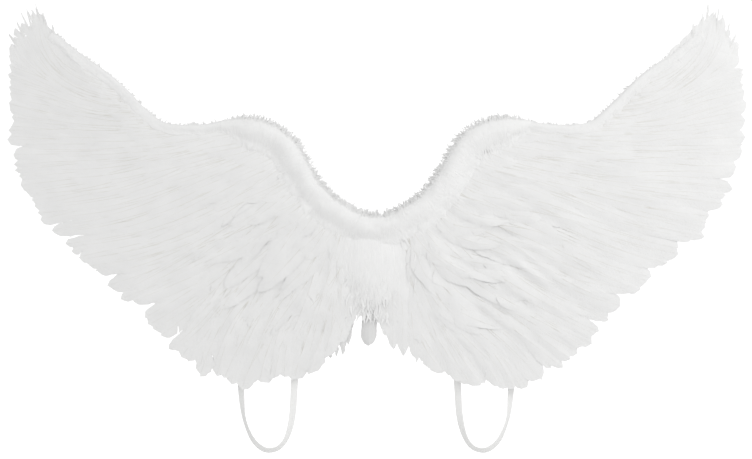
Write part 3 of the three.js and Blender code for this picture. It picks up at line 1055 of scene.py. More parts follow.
class DownRoll:
    """A roll of marabou along a line of points. inward holds the way into the wing, radius the roll's size
    and clear its least depth at each point; lean is how far its locks lean along it."""

    def __init__(self, line, inward, radius, clear, rng, lean, bed):
        self.line, self.inward, self.radius, self.clear = line, inward, radius, clear
        self.rng, self.lean, self.bed = rng, lean, bed
        self.rows, self.share = len(line), radius / ROLL_RADIUS
        self.length = np.linalg.norm(np.diff(line, axis=0), axis=1).mean() * (self.rows - 1)
        profile, self.around = roll_profile(ROLL_SECTION, ROLL_COLUMNS)
        grid = self.settle(self.sweep(profile))
        self.along = np.gradient(grid, axis=0)
        bumps = swells(rng, self.rows, ROLL_COLUMNS, (5, 5), 0.45)
        self.skin = Skin(grid, bumps * self.share[:, None])
        self.body, self.fringe = Soup(), Soup()
        self.skin.add_core(self.body)

    def sweep(self, profile):
        """A section swept along the line, as a grid."""
        section = profile[None, :, :1] * self.inward[:, None] + profile[None, :, 1:] * FRONT
        grid = self.line[:, None] + self.radius[:, None, None] * section
        grid[..., 1] = np.minimum(grid[..., 1], -self.clear[:, None])
        return grid

    def settle(self, grid):
        """Lays the drawn-out side on the feathers. Its last part sinks into them along a tufted line."""
        tufts = 0.8
        for every, size in ((1.7, 0.055), (6, 0.04)):
            tufts = tufts + swells(self.rng, self.rows, 2, (every, 1), size)[:, :1]
        tufts = np.clip(tufts, 0.64, 0.93)
        shares = np.linspace(0, 1, ROLL_COLUMNS)[None]
        cover = 1.4 - 2.9 * smooth((shares - tufts) / (1.04 - tufts), 0, 1)
        under = self.bed.at(np.abs(grid[..., 0]), grid[..., 2]) + np.maximum(self.share, 0.5)[:, None] * cover
        deep = -grid[..., 1]
        blended = (deep + under + np.sqrt((deep - under) ** 2 + 1.5)) / 2
        blended += (under - blended) * smooth(shares, 0.68, 0.86)
        lies = smooth(shares, 0.42, 0.62)
        grid[..., 1] = -(deep * (1 - lies) + blended * lies)
        return grid

    def scatter(self, per_mm, low, high):
        """Random places on the roll, fewer of them where it is slim, with the roll's size there."""
        count = round(self.length * per_mm)
        i = self.rng.uniform(0.5, self.rows - 1.5, count)
        j = self.rng.uniform(low, high, count) * (ROLL_COLUMNS - 1)
        here = np.interp(i, np.arange(self.rows), self.share)
        keep = self.rng.random(count) < here**1.4
        return i[keep], j[keep], here[keep], int(keep.sum())

    def ways(self, i, j):
        """The ways into the wing and along the roll at places on it."""
        way = np.stack([np.interp(i, np.arange(self.rows), self.inward[:, k]) for k in range(3)], -1)
        return way, unit(on_grid(self.along, i, j))

    def comb(self, per_mm, low, high, reach, width, height):
        """Locks that lie on the roll, combed into the wing."""
        rng = self.rng
        i, j, here, count = self.scatter(per_mm, low, high)
        column = self.around * ROLL_RADIUS * here / (ROLL_COLUMNS - 1)
        span = rng.uniform(*reach, count) * here**0.6 / column
        j = np.minimum(j, ROLL_COLUMNS - 2 - span)
        drift = (self.lean * rng.uniform(-0.2, 0.5, count) + rng.normal(0, 0.22, count)) * span * 0.5
        curl = rng.normal(0, 1.1, count)
        lift = rng.uniform(-0.06, 0.08, count)[:, None] * here[:, None] - 0.15 * LOCK_RUN**2
        rows_of = i[:, None] + drift[:, None] * LOCK_RUN + curl[:, None] * LOCK_RUN**2
        paths, normals = self.skin.path(rows_of, j[:, None] + span[:, None] * LOCK_RUN, lift)
        widths = rng.uniform(*width, count) * here**0.5
        add_locks(self.body, paths, normals, widths, rng.uniform(*height, count) * here**0.5)

    def spill(self, per_mm):
        """Thin locks that run off the skirt and lie on the feathers."""
        rng, bow = self.rng, LOCK_RUN[..., None]
        i, j, here, count = self.scatter(per_mm, 0.72, 0.86)
        way, tangent = self.ways(i, j)
        start, _ = self.skin.path(i, j, np.full(count, 0.1))
        sway = self.lean * rng.uniform(-0.3, 0.6, count) + rng.normal(0, 0.25, count)
        end = start + unit(way + tangent * sway[:, None]) * (rng.uniform(10, 20, count) * here)[:, None]
        bend = tangent * rng.normal(0, 1.6, count)[:, None]
        paths = start[:, None] * (1 - bow) + end[:, None] * bow + bend[:, None] * bow * (1 - bow)
        paths[..., 1] = 0
        paths = self.bed.drape(paths)
        lift = np.maximum(paths[:, :1, 1] - start[:, None, 1], 0) * (1 - smooth(LOCK_RUN, 0, 0.4))
        paths[..., 1] -= lift + rng.uniform(0.1, 0.35, count)[:, None] - 0.3 * LOCK_RUN**2
        normals = np.broadcast_to(FRONT, paths.shape)
        add_locks(self.body, paths, normals, rng.uniform(0.3, 1.3, count), np.full(count, 0.16))

    def spikes(self, per_mm, low, high, reach, width):
        """Tapered tufts that stand out of the roll past the wing's edge."""
        rng, bow = self.rng, LOCK_RUN[..., None]
        i, j, here, count = self.scatter(per_mm, low, high)
        way, tangent = self.ways(i, j)
        start, _ = self.skin.path(i, j, np.full(count, -0.5))
        sway = self.lean * rng.uniform(-0.4, 1.2, count) + rng.normal(0, 0.45, count)
        back = rng.uniform(-0.8, -0.3, count)
        heading = unit(-way + tangent * sway[:, None] + FRONT * back[:, None])
        span = rng.uniform(*reach, count) * here**0.5
        paths = start[:, None] + heading[:, None] * span[:, None, None] * bow
        paths = paths + tangent[:, None] * rng.normal(0, 0.8, count)[:, None, None] * bow**2
        normals = np.broadcast_to(FRONT, paths.shape)
        add_locks(self.fringe, paths, normals, rng.uniform(*width, count), np.full(count, 0.08))

    def stand(self, per_mm, low, high, reach):
        """Single hairs that stand out of the roll."""
        i, j, here, count = self.scatter(per_mm, low, high)
        way, tangent = self.ways(i, j)
        roots, normals = self.skin.path(i, j, np.full(count, -0.6))
        direction = 0.4 * normals - 0.7 * way + self.lean * 0.4 * tangent + self.rng.normal(0, 0.3, (count, 3))
        span = self.rng.uniform(*reach, count) * (0.45 + 0.55 * here)
        add_fibres(self.fringe, self.rng, roots, direction, span, 0.12, 0.3)

    def back(self, per_mm):
        """The back of the roll, with its own locks combed out of the wing."""
        rng = self.rng
        profile, _ = roll_profile(ROLL_BACK, BACK_COLUMNS)
        bumps = swells(rng, self.rows, BACK_COLUMNS, (4, 3), 0.5) * self.share[:, None]
        rear = Skin(self.sweep(profile), bumps, facing=1)
        rear.add_core(self.body)
        count = round(self.length * per_mm)
        i, j = rng.uniform(0.5, self.rows - 1.5, count), rng.uniform(0.2, 10, count)
        span = rng.uniform(3, BACK_COLUMNS - 11, count)
        rows_of = i[:, None] + rng.normal(0, 0.9, count)[:, None] * LOCK_RUN
        paths, normals = rear.path(rows_of, j[:, None] + span[:, None] * LOCK_RUN, np.full((count, 1), 0.05))
        size = np.interp(i, np.arange(self.rows), self.share) ** 0.6
        widths = rng.uniform(0.4, 1.8, count) * size
        add_locks(self.body, paths, normals, widths, rng.uniform(0.25, 0.6, count) * size)


def down_roll(name, parts, seed, material, painted_shade_material, lean, bed):
    """One stretch of marabou, as a body and a fringe of hairs. The fringe takes a darker down colour: painted shade
    for the grey edge where the roll turns away from the light.
    """
    roll = DownRoll(*parts, np.random.default_rng(seed), lean, bed)
    roll.comb(2.6, 0.1, 0.9, (9, 18), (1.1, 2.6), (0.25, 0.6))
    roll.comb(3.2, 0.1, 0.95, (8, 15), (0.3, 0.6), (0.2, 0.45))
    roll.spill(0.5)
    roll.spikes(2.2, 0.2, 0.36, (5, 9), (0.4, 0.9))
    roll.spikes(1.6, 0.16, 0.3, (6, 12), (0.2, 0.5))
    roll.stand(0.9, 0.14, 0.3, (5, 11))
    roll.back(3.0)
    body = roll.body.build(name, material, sharp=CREASE)
    return body, roll.fringe.build(f"{name}_hairs", painted_shade_material, sharp=CREASE)


def edge_line(prefix, side):
    """The line of the marabou from the middle of the panel out to the wing tip, with what DownRoll needs."""
    t = np.linspace(0.035, 0.985, 64)
    size = 1 - (1 - EDGE_RADIUS / ROLL_RADIUS) * smooth(t, 0.4, 0.56)
    along_wing = leading(t, 2 + (TRIM_RADIUS - 2) * size)
    points = np.concatenate([[(0, 33.5), (14, 35), (28, 41), (40, 48.5)], along_wing])
    sizes = np.concatenate([np.ones(4), size])
    clears = np.concatenate([np.zeros(4), 6.9 * smooth(t, 0.42, 0.5)])
    share = np.linspace(0, 1, 2000)
    fine = catmull(points, share)
    run = distance_along(fine)
    even = np.linspace(0, run[-1], round(run[-1] / 2.4))
    at = np.interp(even, run, share)
    flat = catmull(points, at)
    along = unit(np.gradient(flat, axis=0))
    inward = np.stack([along[:, 1], -along[:, 0]], -1)
    place_of = at * (len(points) - 1)
    radius = ROLL_RADIUS * np.interp(place_of, np.arange(len(points)), sizes)
    clear = np.interp(place_of, np.arange(len(points)), clears)
    depth = TRIM_DEPTH - 0.35 * (ROLL_RADIUS - radius)
    line = to_row(flat, side, 0)
    line[:, 1] = -depth
    return line, to_row(inward, side, 0), radius, clear


def marabou(beds, down, painted_shade_material, vane):
    """The trim: over the panel, over each fold and along each wing, and the slim fringe out to each tip."""
    halves = {}
    lean = -0.5
    for index, (prefix, side) in enumerate(SIDES.items()):
        parts, bed = edge_line(prefix, side), beds[prefix]
        reach, size = np.abs(parts[0][:, 0]), parts[2]
        halves[side] = [p[reach < 24] for p in parts]
        over_fold = (reach > 21) & (reach < 50)
        full = (reach > 46) & (size > EDGE_RADIUS + 0.5)
        slim = (reach > 46) & (size < EDGE_RADIUS + 1.2)
        # The fringe hairs of each stretch take the darker down colour, which is painted shade.
        fold, wing, edge = (
            down_roll(f"{prefix}_{name}", [p[chosen] for p in parts], seed + index, material, painted_shade_material, lean, bed)
            for name, chosen, seed, material in (
                ("fold_marabou", over_fold, 71, down), ("marabou", full, 21, down), ("edge_fringe", slim, 26, vane),
            )
        )
        for piece in fold:
            bend_over_fold(prefix, piece)
        for piece, stands_for in zip(wing, (f"{prefix}_marabou_trim", None)):
            ride_on(f"{prefix}_wing", piece, stands_for)
        for piece in edge:
            ride_on(f"{prefix}_wing", piece)
    whole = [np.concatenate([halves[-1][k][:0:-1], halves[1][k]]) for k in range(4)]
    pair = down_roll("centre_marabou", whole, 41, down, painted_shade_material, 0.0, bed)
    for piece, stands_for in zip(pair, ("centre_trim", None)):
        ride_on("back_panel", piece, stands_for)


def combed(skin, rng, i, j, span, drift):
    """Paths of locks that lie on a skin and run down its rows, and their normals."""
    lift = rng.uniform(-0.06, 0.1, len(i))[:, None] - 0.15 * LOCK_RUN**2
    return skin.path(i[:, None] + span[:, None] * LOCK_RUN, j[:, None] + drift[:, None] * LOCK_RUN, lift)


def centre_body(seed, down):
    """The tuft over the middle: a low swelling that runs out into the down beside it, combed downwards."""
    rng = np.random.default_rng(seed)
    half = np.array([44.0, 6.6, 54.0])
    middle = np.array([-6.0, -9.6, -14.0])
    rows, columns = 44, 40
    v = np.linspace(-1, 1, rows)[:, None]
    u = np.linspace(-1, 1, columns)[None]
    across = np.sqrt(1 - 0.86 * v**2) * (1 - 0.16 * v)
    from_middle = np.minimum(u**2 + v**2 * (1 - 0.5 * u**2), 1)
    rise = (1 - from_middle) ** 2.1
    x = half[0] * u * across
    z = -half[2] * (v + 0.1 * u * smooth(v, 0, 1))
    y = -half[1] * rise + 1.9 * smooth(v, 0.55, 1)
    bumps = swells(rng, rows, columns, (7, 6), 0.6) * np.sqrt(rise)
    skin = Skin(middle + np.stack([x, y, z + 0 * u], -1), bumps)
    # Cut at the folds into a part on the panel and one on each side.
    cuts = [int(np.searchsorted(x[rows // 2] + middle[0], reach)) for reach in (-FOLD_START, FOLD_START)]
    soups = [Soup(), Soup(), Soup()]
    for soup, start, end in zip(soups, [0] + cuts, cuts + [columns - 1]):
        skin.add_core(soup, slice(start, end + 1), backed=True)

    def share_out(add, places, *others):
        """Gives each lock or hair to the part its root is on."""
        root = places.reshape(len(places), -1)[:, 0]
        for soup, own in zip(soups, (root < -FOLD_START, np.abs(root) <= FOLD_START, root > FOLD_START)):
            add(soup, places[own], *[other[own] for other in others])

    def comb(count, reach, width, height):
        i = rng.uniform(1, rows - 5, count)
        j = rng.uniform(1.5, columns - 2.5, count)
        span = np.minimum(rng.uniform(*reach, count) / (2 * half[2] / rows), rows - 2 - i)
        drift = 0.1 * (j - columns / 2) * rng.uniform(-0.4, 0.6, count) + rng.normal(0, 0.8, count)
        paths, normals = combed(skin, rng, i, j, span, drift)
        share_out(add_locks, paths, normals, rng.uniform(*width, count), rng.uniform(*height, count))

    comb(420, (12, 28), (1.2, 2.8), (0.25, 0.55))
    comb(520, (10, 24), (0.3, 0.6), (0.2, 0.4))
    # Wisps that run off it over the feathers below.
    count = 120
    i, j = rng.uniform(rows * 0.6, rows * 0.9, count), rng.uniform(4, columns - 5, count)
    start, _ = skin.path(i, j, np.full(count, 0.1))
    heading = unit(np.stack([rng.normal(0, 0.22, count), 0 * i, np.full(count, -1.0)], -1))
    paths = start[:, None] + heading[:, None] * rng.uniform(10, 20, count)[:, None, None] * LOCK_RUN[..., None]
    paths[..., 0] += rng.normal(0, 1.5, count)[:, None] * np.sin(math.pi * LOCK_RUN)
    drop = rng.uniform(-11.2, -9.6, count)[:, None] - start[:, None, 1]
    paths[..., 1] = start[:, None, 1] + drop * smooth(LOCK_RUN, 0, 1)
    widths = rng.uniform(0.4, 1.6, count)
    share_out(add_locks, paths, np.broadcast_to(FRONT, paths.shape), widths, np.full(count, 0.2))
    count = 160
    i, j = rng.uniform(rows * 0.5, rows - 3.5, count), rng.uniform(2, columns - 3, count)
    roots, normals = skin.path(i, j, np.full(count, -0.5))
    direction = np.array([0, 0, -1.0]) + 0.15 * normals + rng.normal(0, 0.2, (count, 3))
    direction[:, 1] = np.maximum(direction[:, 1], -0.15)
    lengths = rng.uniform(8, 15, count)
    share_out(lambda soup, *hairs: add_fibres(soup, rng, *hairs, 0.2, 0.2), roots, direction, lengths)
    for soup, prefix in zip(soups, ("left", "centre", "right")):
        piece = soup.build(f"{prefix}_tuft", down, sharp=CREASE)
        if prefix == "centre":
            ride_on("back_panel", piece, "centre_down")
        else:
            bend_over_fold(prefix, piece)


# Feathers that hang over the folds, beside and below the tuft: root, tip and width, as [x, up].
FOLD_FEATHERS = {
    "left": [
        ((-18, -16), (-18, -67), 14), ((-24, -14), (-27, -76), 15), ((-30, -12), (-31, -84), 16),
        ((-25, -6), (-27, -58), 16), ((-36, -10), (-40, -82), 16),
    ],
    "right": [
        ((6, -20), (2, -74), 14), ((12, -20), (10, -88), 18), ((18, -20), (18, -102), 20),
        ((26, -16), (30, -110), 20), ((34, -12), (43, -116), 20), ((16, -10), (19, -76), 18),
        ((24, -6), (31, -88), 19), ((22, -14), (25, -60), 16),
    ],
}
# Ragged feathers set deep under the root of the left wing, where they are partly in real shade; their darker vane
# colour paints more shade on them.
UNDER_FEATHERS = [
    ((-28, -30), (-30, -99), 11), ((-32, -34), (-36, -109), 11), ((-36, -30), (-43, -111), 10),
    ((-40, -30), (-50, -113), 12), ((-26, -36), (-28, -88), 9), ((-44, -34), (-58, -114), 12),
]


def fold_down(prefix, side, seed, bed, vane, quill, down):
    """The soft bed over a fold, from the middle of the panel to the wing's root, and the feathers on it."""
    rng = np.random.default_rng(seed)
    rows, columns = 40, 24
    v = np.linspace(0, 1, rows)[:, None]
    u = np.linspace(0, 1, columns)[None]
    top = 30 + 16 * u**1.5
    bottom = -44 - 30 * u
    x = side * u * 46 * (1 - 0.12 * v) + 0 * v
    z = top * (1 - v) + bottom * v
    depth = FOLD_DEPTH - 0.6 - 2.6 * smooth(v, 0.75, 1) + 0 * u
    depth = depth + (bed.at(np.abs(x), z) - 0.4 - depth) * smooth(u, 0.7, 1)
    front = np.stack([x, -depth, z], -1)
    behind = [0, 2.6, 0]
    front = np.concatenate([front[:, :1] + behind, front, front[:, -1:] + behind], 1)
    bumps = swells(rng, rows, columns, (8, 5), 0.5) * np.sin(math.pi * u) * np.sin(math.pi * v)
    skin = Skin(front, np.pad(bumps, ((0, 0), (1, 1))))
    columns += 2
    soup = Soup()
    skin.add_core(soup)
    count = 380
    i, j = rng.uniform(0, rows - 12, count), rng.uniform(1, columns - 2, count)
    span = np.minimum(rng.uniform(5, 11, count), rows - 2 - i)
    paths, normals = combed(skin, rng, i, j, span, rng.normal(0.2, 0.5, count))
    add_locks(soup, paths, normals, rng.uniform(0.8, 2.4, count), rng.uniform(0.2, 0.45, count))
    piece = soup.build(f"{prefix}_fold_down", down, sharp=CREASE)
    bend_over_fold(prefix, piece)
    leaves, shafts = Soup(), Soup()
    for k, (root, tip, width) in enumerate(FOLD_FEATHERS[prefix]):
        shape = covert_shape(rng, 0.5)
        shape.update(ragged=0.2, panels=3, cup=-0.04)
        depth, roll = (-0.6, 0.3 + 0.07 * k), rng.normal(0, 0.03)
        add_feather(leaves, shafts, rng, root, tip, width, depth, shape, roll, bed)
    for made, name, material in ((leaves, "fold_feather_vanes", vane), (shafts, "fold_quills", quill)):
        bend_over_fold(prefix, made.build(f"{prefix}_{name}", material, sharp=60))


def under_feathers(vane):
    """The ragged feathers below the root of the left wing, in the darker vane colour: painted shade."""
    rng = np.random.default_rng(67)
    soup = Soup()
    for root, tip, width in UNDER_FEATHERS:
        shape = covert_shape(rng, 0.5)
        shape.update(ragged=0.45, panels=5, spread=0.05, blunt=0.4)
        add_feather(soup, None, rng, root, tip, width, (7.6, 7.9), shape, rng.normal(0, 0.03))
    bend_over_fold("left", soup.build("left_under_feathers", vane, sharp=60))


# Small loose plumes that stand over the root of each wing: root, tip and width, as outward and up.
ROOT_PLUMES = {
    "left": [((52, 34), (50, -4), 8)],
    "right": [
        ((38, 16), (35, -30), 9), ((48, 26), (46, -8), 8),
        ((56, 26), (59, -14), 8), ((42, 14), (42, -36), 7),
    ],
}


def root_plumes(prefix, side, seed, bed, vane):
    """Small loose plumes over the root of a wing."""
    rng = np.random.default_rng(seed)
    soup = Soup()
    for root, tip, width in ROOT_PLUMES[prefix]:
        shape = covert_shape(rng, 0.8)
        shape.update(cup=-0.1, ragged=0.3, panels=4, spread=0.05, blunt=0.3, point=0.8)
        start, end = (side * root[0], root[1]), (side * tip[0], tip[1])
        add_feather(soup, None, rng, start, end, width, (-0.3, 1.2), shape, 0.0, bed)
    ride_on(f"{prefix}_wing", soup.build(f"{prefix}_root_plumes", vane, sharp=60))


def tail_feather(vane, quill):
    """The single narrow feather that hangs below the tuft, widest near its rounded end. It and the thin feathers
    beside it take the darker vane colour, painted shade for hanging behind the tuft.
    """
    rng = np.random.default_rng(5)
    soup, shafts = Soup(), Soup()
    shape = dict(BROAD, panels=2, rise=0.82, start=0.42, blunt=0.8)
    shape.update(ragged=0.08, cup=-0.25, ripple=0.4, spread=0.01)
    add_feather(soup, shafts, rng, (-5.5, -22), (-8, -98.5), 17, (7, 8), shape)
    thin = dict(shape, rise=0.5, blunt=0.5, start=0.3, panels=3)
    for root, tip, width in (((2, -30), (7, -62), 8), ((-12, -30), (-17, -64), 8), ((4, -34), (3, -72), 6)):
        add_feather(soup, shafts, rng, root, tip, width, (8, 9.5), thin)
    ride_on("back_panel", soup.build("tail_feather_vane", vane, sharp=60), "tail_feather")
    ride_on("back_panel", shafts.build("tail_quills", quill))


# ---- The wearer's side ----
WIRE_TOP = -0.75  # where the cloth's outer face lies over a wire
CLOTH_EDGE = -3.3
CLOTH_SAG = -2.7
CLOTH_THICK = 0.4
PATCH = (80, 156, 22, 46)  # inner, outer, lower and upper edge
PATCH_LIE = -0.15
TABS = [(85, 93), (143, 151)]
TAB_HEIGHTS = (20.4, 42)
TAPE = (18, 52.5, -52, 25)
TACK_HEIGHTS = (32, 35)


def edge_inset(t):
    """How far inside the leading edge the board and cloth stop."""
    return 21.5 - 16.5 * smooth(t, TRIM_END - 0.04, TRIM_END + 0.08)


def gap_to(line, u, z):
    """How far points lie from a line of points."""
    p = np.stack(np.broadcast_arrays(u, z), -1)[..., None, :]
    a, b = np.asarray(line, float)[:-1], np.asarray(line, float)[1:]
    run = b - a
    share = np.clip(((p - a) * run).sum(-1) / (run**2).sum(-1), 0, 1)
    return np.linalg.norm(p - a - share[..., None] * run, axis=-1).min(-1)


def gap_to_box(edges, u, z):
    """How far points lie outside an upright rectangle."""
    inner, outer, low, high = edges
    across = np.maximum(np.maximum(inner - u, u - outer), 0)
    up = np.maximum(np.maximum(low - z, z - high), 0)
    return np.hypot(across, up)


def along_line(points, count):
    """Evenly spaced points along a line of points."""
    points = np.asarray(points, float)
    run = distance_along(points)
    even = np.linspace(0, run[-1], count)
    return np.stack([np.interp(even, run, points[:, k]) for k in range(2)], -1)


def flat_grid(across, up, rows, columns):
    """Grids of the places between two ends across, row by row, and two ends up, column by column."""
    u = np.linspace(*across, rows)[:, None] * np.ones((1, columns))
    return u, np.linspace(*up, columns)[None] * np.ones((rows, 1))


def wing_wires():
    """The lines of a wing's arm wire and its two ribs."""
    t = np.linspace(0.1, 0.93, 60)
    arm = np.concatenate([[(34.5, 16), (50, 19)], leading(t, edge_inset(t) + 6)])
    return [arm] + [catmull(rib, np.linspace(0, 1, 24)) for rib in RIB_WIRES]


def cloth_depth(wires, u, z, rim_gap):
    """The cloth's outer face: over the wires like a tent, flat under the patch and down at its rim."""
    over = np.min([gap_to(w, u, z) for w in wires], axis=0)
    y = np.maximum(WIRE_TOP - 0.1 * np.maximum(over - 1, 0), CLOTH_SAG)
    y = np.maximum(y, PATCH_LIE - 0.12 * gap_to_box(PATCH, u, z))
    y = np.maximum(y, -0.55 - 0.12 * gap_to_box(TAPE, u, z))
    return CLOTH_EDGE + (y - CLOTH_EDGE) * smooth(rim_gap, -1, 3)


def laid_sheet(name, side, u, z, y, thick, material):
    """A closed thin sheet from grids of its outer face, rows going outward and columns downward."""
    rows, columns = u.shape
    outer = np.stack([side * u, y, z], -1).reshape(-1, 3)
    faces = sheet_faces(rows, columns)
    if side > 0:
        faces = faces[:, ::-1]
    soup = Soup()
    both = np.concatenate([outer, outer - [0, thick, 0]])
    soup.add(both, quads=faces, uv=np.tile(outer[:, [0, 2]], (2, 1)))
    return soup.build(name, material, sharp=50)


def wing_cloth(prefix, side, seed, cloth):
    """Non-woven cloth over the board and wires of a wing."""
    rng = np.random.default_rng(seed)
    rows, columns = 150, 64
    t = np.linspace(0.03, 0.95, 120)
    top = along_line(np.concatenate([[(35, 21)], leading(t, edge_inset(t) + 2)]), rows)
    lower = flow(np.linspace(0.02, 1, 120), np.full(120, 0.71))
    low = along_line(np.concatenate([[(35, -50)], lower]), rows)
    v = np.linspace(0, 1, columns)[None, :, None]
    flat = top[:, None] * (1 - v) + low[:, None] * v
    u, z = flat[..., 0], flat[..., 1]
    rim = np.concatenate([flat[0, :-1], flat[:-1, -1], flat[-1, :0:-1], flat[:0:-1, 0]])
    rim_gap = gap_to(np.concatenate([rim, rim[:1]]), u, z)
    creases = swells(rng, rows, columns, (9, 7), 0.13) + swells(rng, rows, columns, (3, 16), 0.06)
    y = cloth_depth(wing_wires(), u, z, rim_gap)
    free = smooth(rim_gap, 0, 14)
    for covered in (PATCH, TAPE):
        free = free * smooth(gap_to_box(covered, u, z), 0, 8)
    y = np.minimum(y + creases * free, 0.15)
    piece = laid_sheet(f"{prefix}_cloth", side, u, z, y, CLOTH_THICK, cloth)
    ride_on(f"{prefix}_wing", piece, f"{prefix}_backing_cloth")


def centre_cloth(cloth):
    """Non-woven cloth over the centre board and the wires that cross it."""
    rng = np.random.default_rng(91)
    rows, columns = 44, 70
    u, z = flat_grid((-PANEL_HALF_WIDTH, PANEL_HALF_WIDTH), (PANEL_TOP, PANEL_BOTTOM), rows, columns)
    over = np.min([np.abs(z - height) for height in CENTRE_WIRES], axis=0)
    y = np.maximum(WIRE_TOP - 0.1 * np.maximum(over - 1, 0), CLOTH_SAG)
    rim_gap = np.minimum(np.minimum(PANEL_TOP - z, z - PANEL_BOTTOM), 12)
    y = CLOTH_EDGE + (y - CLOTH_EDGE) * smooth(rim_gap, -3, 12)
    y = y + swells(rng, rows, columns, (8, 8), 0.12) * smooth(rim_gap, 0, 8)
    piece = laid_sheet("centre_cloth", 1, u, z, y, CLOTH_THICK, cloth)
    ride_on("back_panel", piece, "centre_backing")


def add_stitches(soup, line, surface, pitch=3.4, radius=0.24):
    """A row of stitches along [outward, up] points: short threads that dip into the cloth at both ends."""
    line = np.asarray(line, float)
    run = float(np.linalg.norm(np.diff(line, axis=0), axis=1).sum())
    count = max(2, round(run / pitch))
    for k in range(count):
        share = np.interp(np.linspace(k + 0.1, k + 0.8, 7), [0, count], [0, 1])
        at = along_line(line, 400)[np.round(share * 399).astype(int)]
        y = surface(at[:, 0], at[:, 1]) + 0.34 * np.sin(math.pi * np.linspace(0, 1, 7)) - 0.16
        add_tube(soup, np.stack([at[:, 0], y, at[:, 1]], -1), radius)


def mirrored(soup, side):
    """Places a soup made in outward and up coordinates on its wing."""
    if side < 0:
        soup.points = [p * [-1, 1, 1] for p in soup.points]
        soup.quads = [q[:, ::-1] for q in soup.quads]
        soup.tris = [t[:, ::-1] for t in soup.tris]
    return soup


def hinge_tape(prefix, side, seed, tape, thread):
    """Cotton tape glued and sewn over a fold, from the centre cloth to the wing's cloth."""
    rng = np.random.default_rng(seed)
    inner, outer, bottom, top = TAPE
    rows, columns = 30, 48
    u, z = flat_grid((inner, outer), (top, bottom), rows, columns)

    def surface(u, z):
        over = np.min([np.abs(z - height) for height in CENTRE_WIRES], axis=0)
        rim = np.minimum(np.minimum(u - inner, outer - u), np.minimum(z - bottom, top - z))
        return 0.1 + 0.3 * np.exp(-((over / 4) ** 2)) - 0.25 * (1 - smooth(rim, 0, 4))

    ends = smooth(z, top - 2, top) + smooth(-z, -bottom - 2, -bottom)
    fray = swells(rng, rows, columns, (2, 2), 0.2) * ends
    y = surface(u, z) + swells(rng, rows, columns, (6, 6), 0.06)
    piece = laid_sheet(f"{prefix}_tape", side, u, z + fray, y, 0.6, tape)
    bend_over_fold(prefix, piece, f"{prefix}_hinge_tape")
    for name, at, body in (("inner", inner + 2.5, "back_panel"), ("outer", outer - 2.5, f"{prefix}_wing")):
        soup = Soup()
        add_stitches(soup, [(at, top - 2), (at, bottom + 2)], surface)
        ride_on(body, mirrored(soup, side).build(f"{prefix}_{name}_tape_stitches", thread, sharp=60))


def patch_surface(u, z):
    """The outer face of the strap patch: over the two tabs like a tent, and on the cloth around them."""
    inner, outer, low, high = PATCH
    over = np.min([gap_to_box((a, b, *TAB_HEIGHTS), u, z) for a, b in TABS], axis=0)
    lifted = 1.75 * (1 - smooth(over, 0, 7.5))
    rim = np.minimum(np.minimum(u - inner, outer - u), high - z)
    return 0.45 + lifted * smooth(np.minimum(rim, 3.5 + 0 * z), -3.5, 3.5) - 0.2 * (1 - smooth(rim, 0, 2))


def strap_patch(prefix, side, seed, tape, thread):
    """The sewn-on patch that holds the ends of an arm loop, and its seam."""
    rng = np.random.default_rng(seed)
    inner, outer, low, high = PATCH
    rows, columns = 96, 34
    u, z = flat_grid((inner, outer), (high, low), rows, columns)
    y = patch_surface(u, z) + swells(rng, rows, columns, (7, 6), 0.07)
    piece = laid_sheet(f"{prefix}_patch", side, u, z, y, 0.5, tape)
    ride_on(f"{prefix}_wing", piece, f"{prefix}_strap_patch")
    margin = 2.2
    a, b, c, d = inner + margin, outer - margin, low + margin, high - margin
    soup = Soup()
    for line in ([(a, c), (a, d)], [(a, d), (b, d)], [(b, d), (b, c)], [(b, c), (a, c)]):
        add_stitches(soup, line, patch_surface)
    ride_on(f"{prefix}_wing", mirrored(soup, side).build(f"{prefix}_patch_seam", thread, sharp=60))


def strap_ends(prefix, side, elastic, thread):
    """The ends of an arm loop under the patch, and the zigzag bar tack over each."""
    low, high = TAB_HEIGHTS
    steps, crossings = 28, 15
    places = np.linspace(low, high, steps)
    lie_of_end = 1.0 + 0.9 * (1 - smooth(places, low, low + 6))
    widths = np.tile([1.0, 0, 0], (steps, 1))
    for (inner, outer), name in zip(TABS, ("inner", "outer")):
        soup = Soup()
        centres = np.stack([np.full(steps, (inner + outer) / 2), lie_of_end, places], -1)
        add_band(soup, centres, widths, places, 1.0, np.ones(steps))
        piece = mirrored(soup, side).build(f"{prefix}_{name}_strap_end", elastic, sharp=50)
        ride_on(f"{prefix}_wing", piece, f"{prefix}_{name}_strap_tab")
        u = np.repeat(np.linspace(inner - 0.3, outer + 0.3, crossings), 2)[1:-1]
        z = np.tile([*TACK_HEIGHTS, *TACK_HEIGHTS[::-1]], crossings)[: len(u)]
        across, up = along_line(np.stack([u, z], -1), 340).T
        soup = Soup()
        add_tube(soup, np.stack([across, patch_surface(across, up) + 0.12, up], -1), 0.3)
        piece = mirrored(soup, side).build(f"{prefix}_{name}_tack", thread, sharp=60)
        ride_on(f"{prefix}_wing", piece, f"{prefix}_{name}_bar_tack")


def finish_cad(card, wire):
    """Materials for the boards and wires, which keep their CAD shape."""
    for name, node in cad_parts.items():
        if name.endswith("board") or name.endswith("wire"):
            node.data.materials.clear()
            node.data.materials.append(card if name.endswith("board") else wire)


# ---- Scene ----
# How bright the studio is, from straight in front (0) to straight behind (1), where the white backdrop is.
STUDIO = [(0.0, 1.02), (0.5, 0.62), (0.985, 0.62), (0.992, 1.0)]


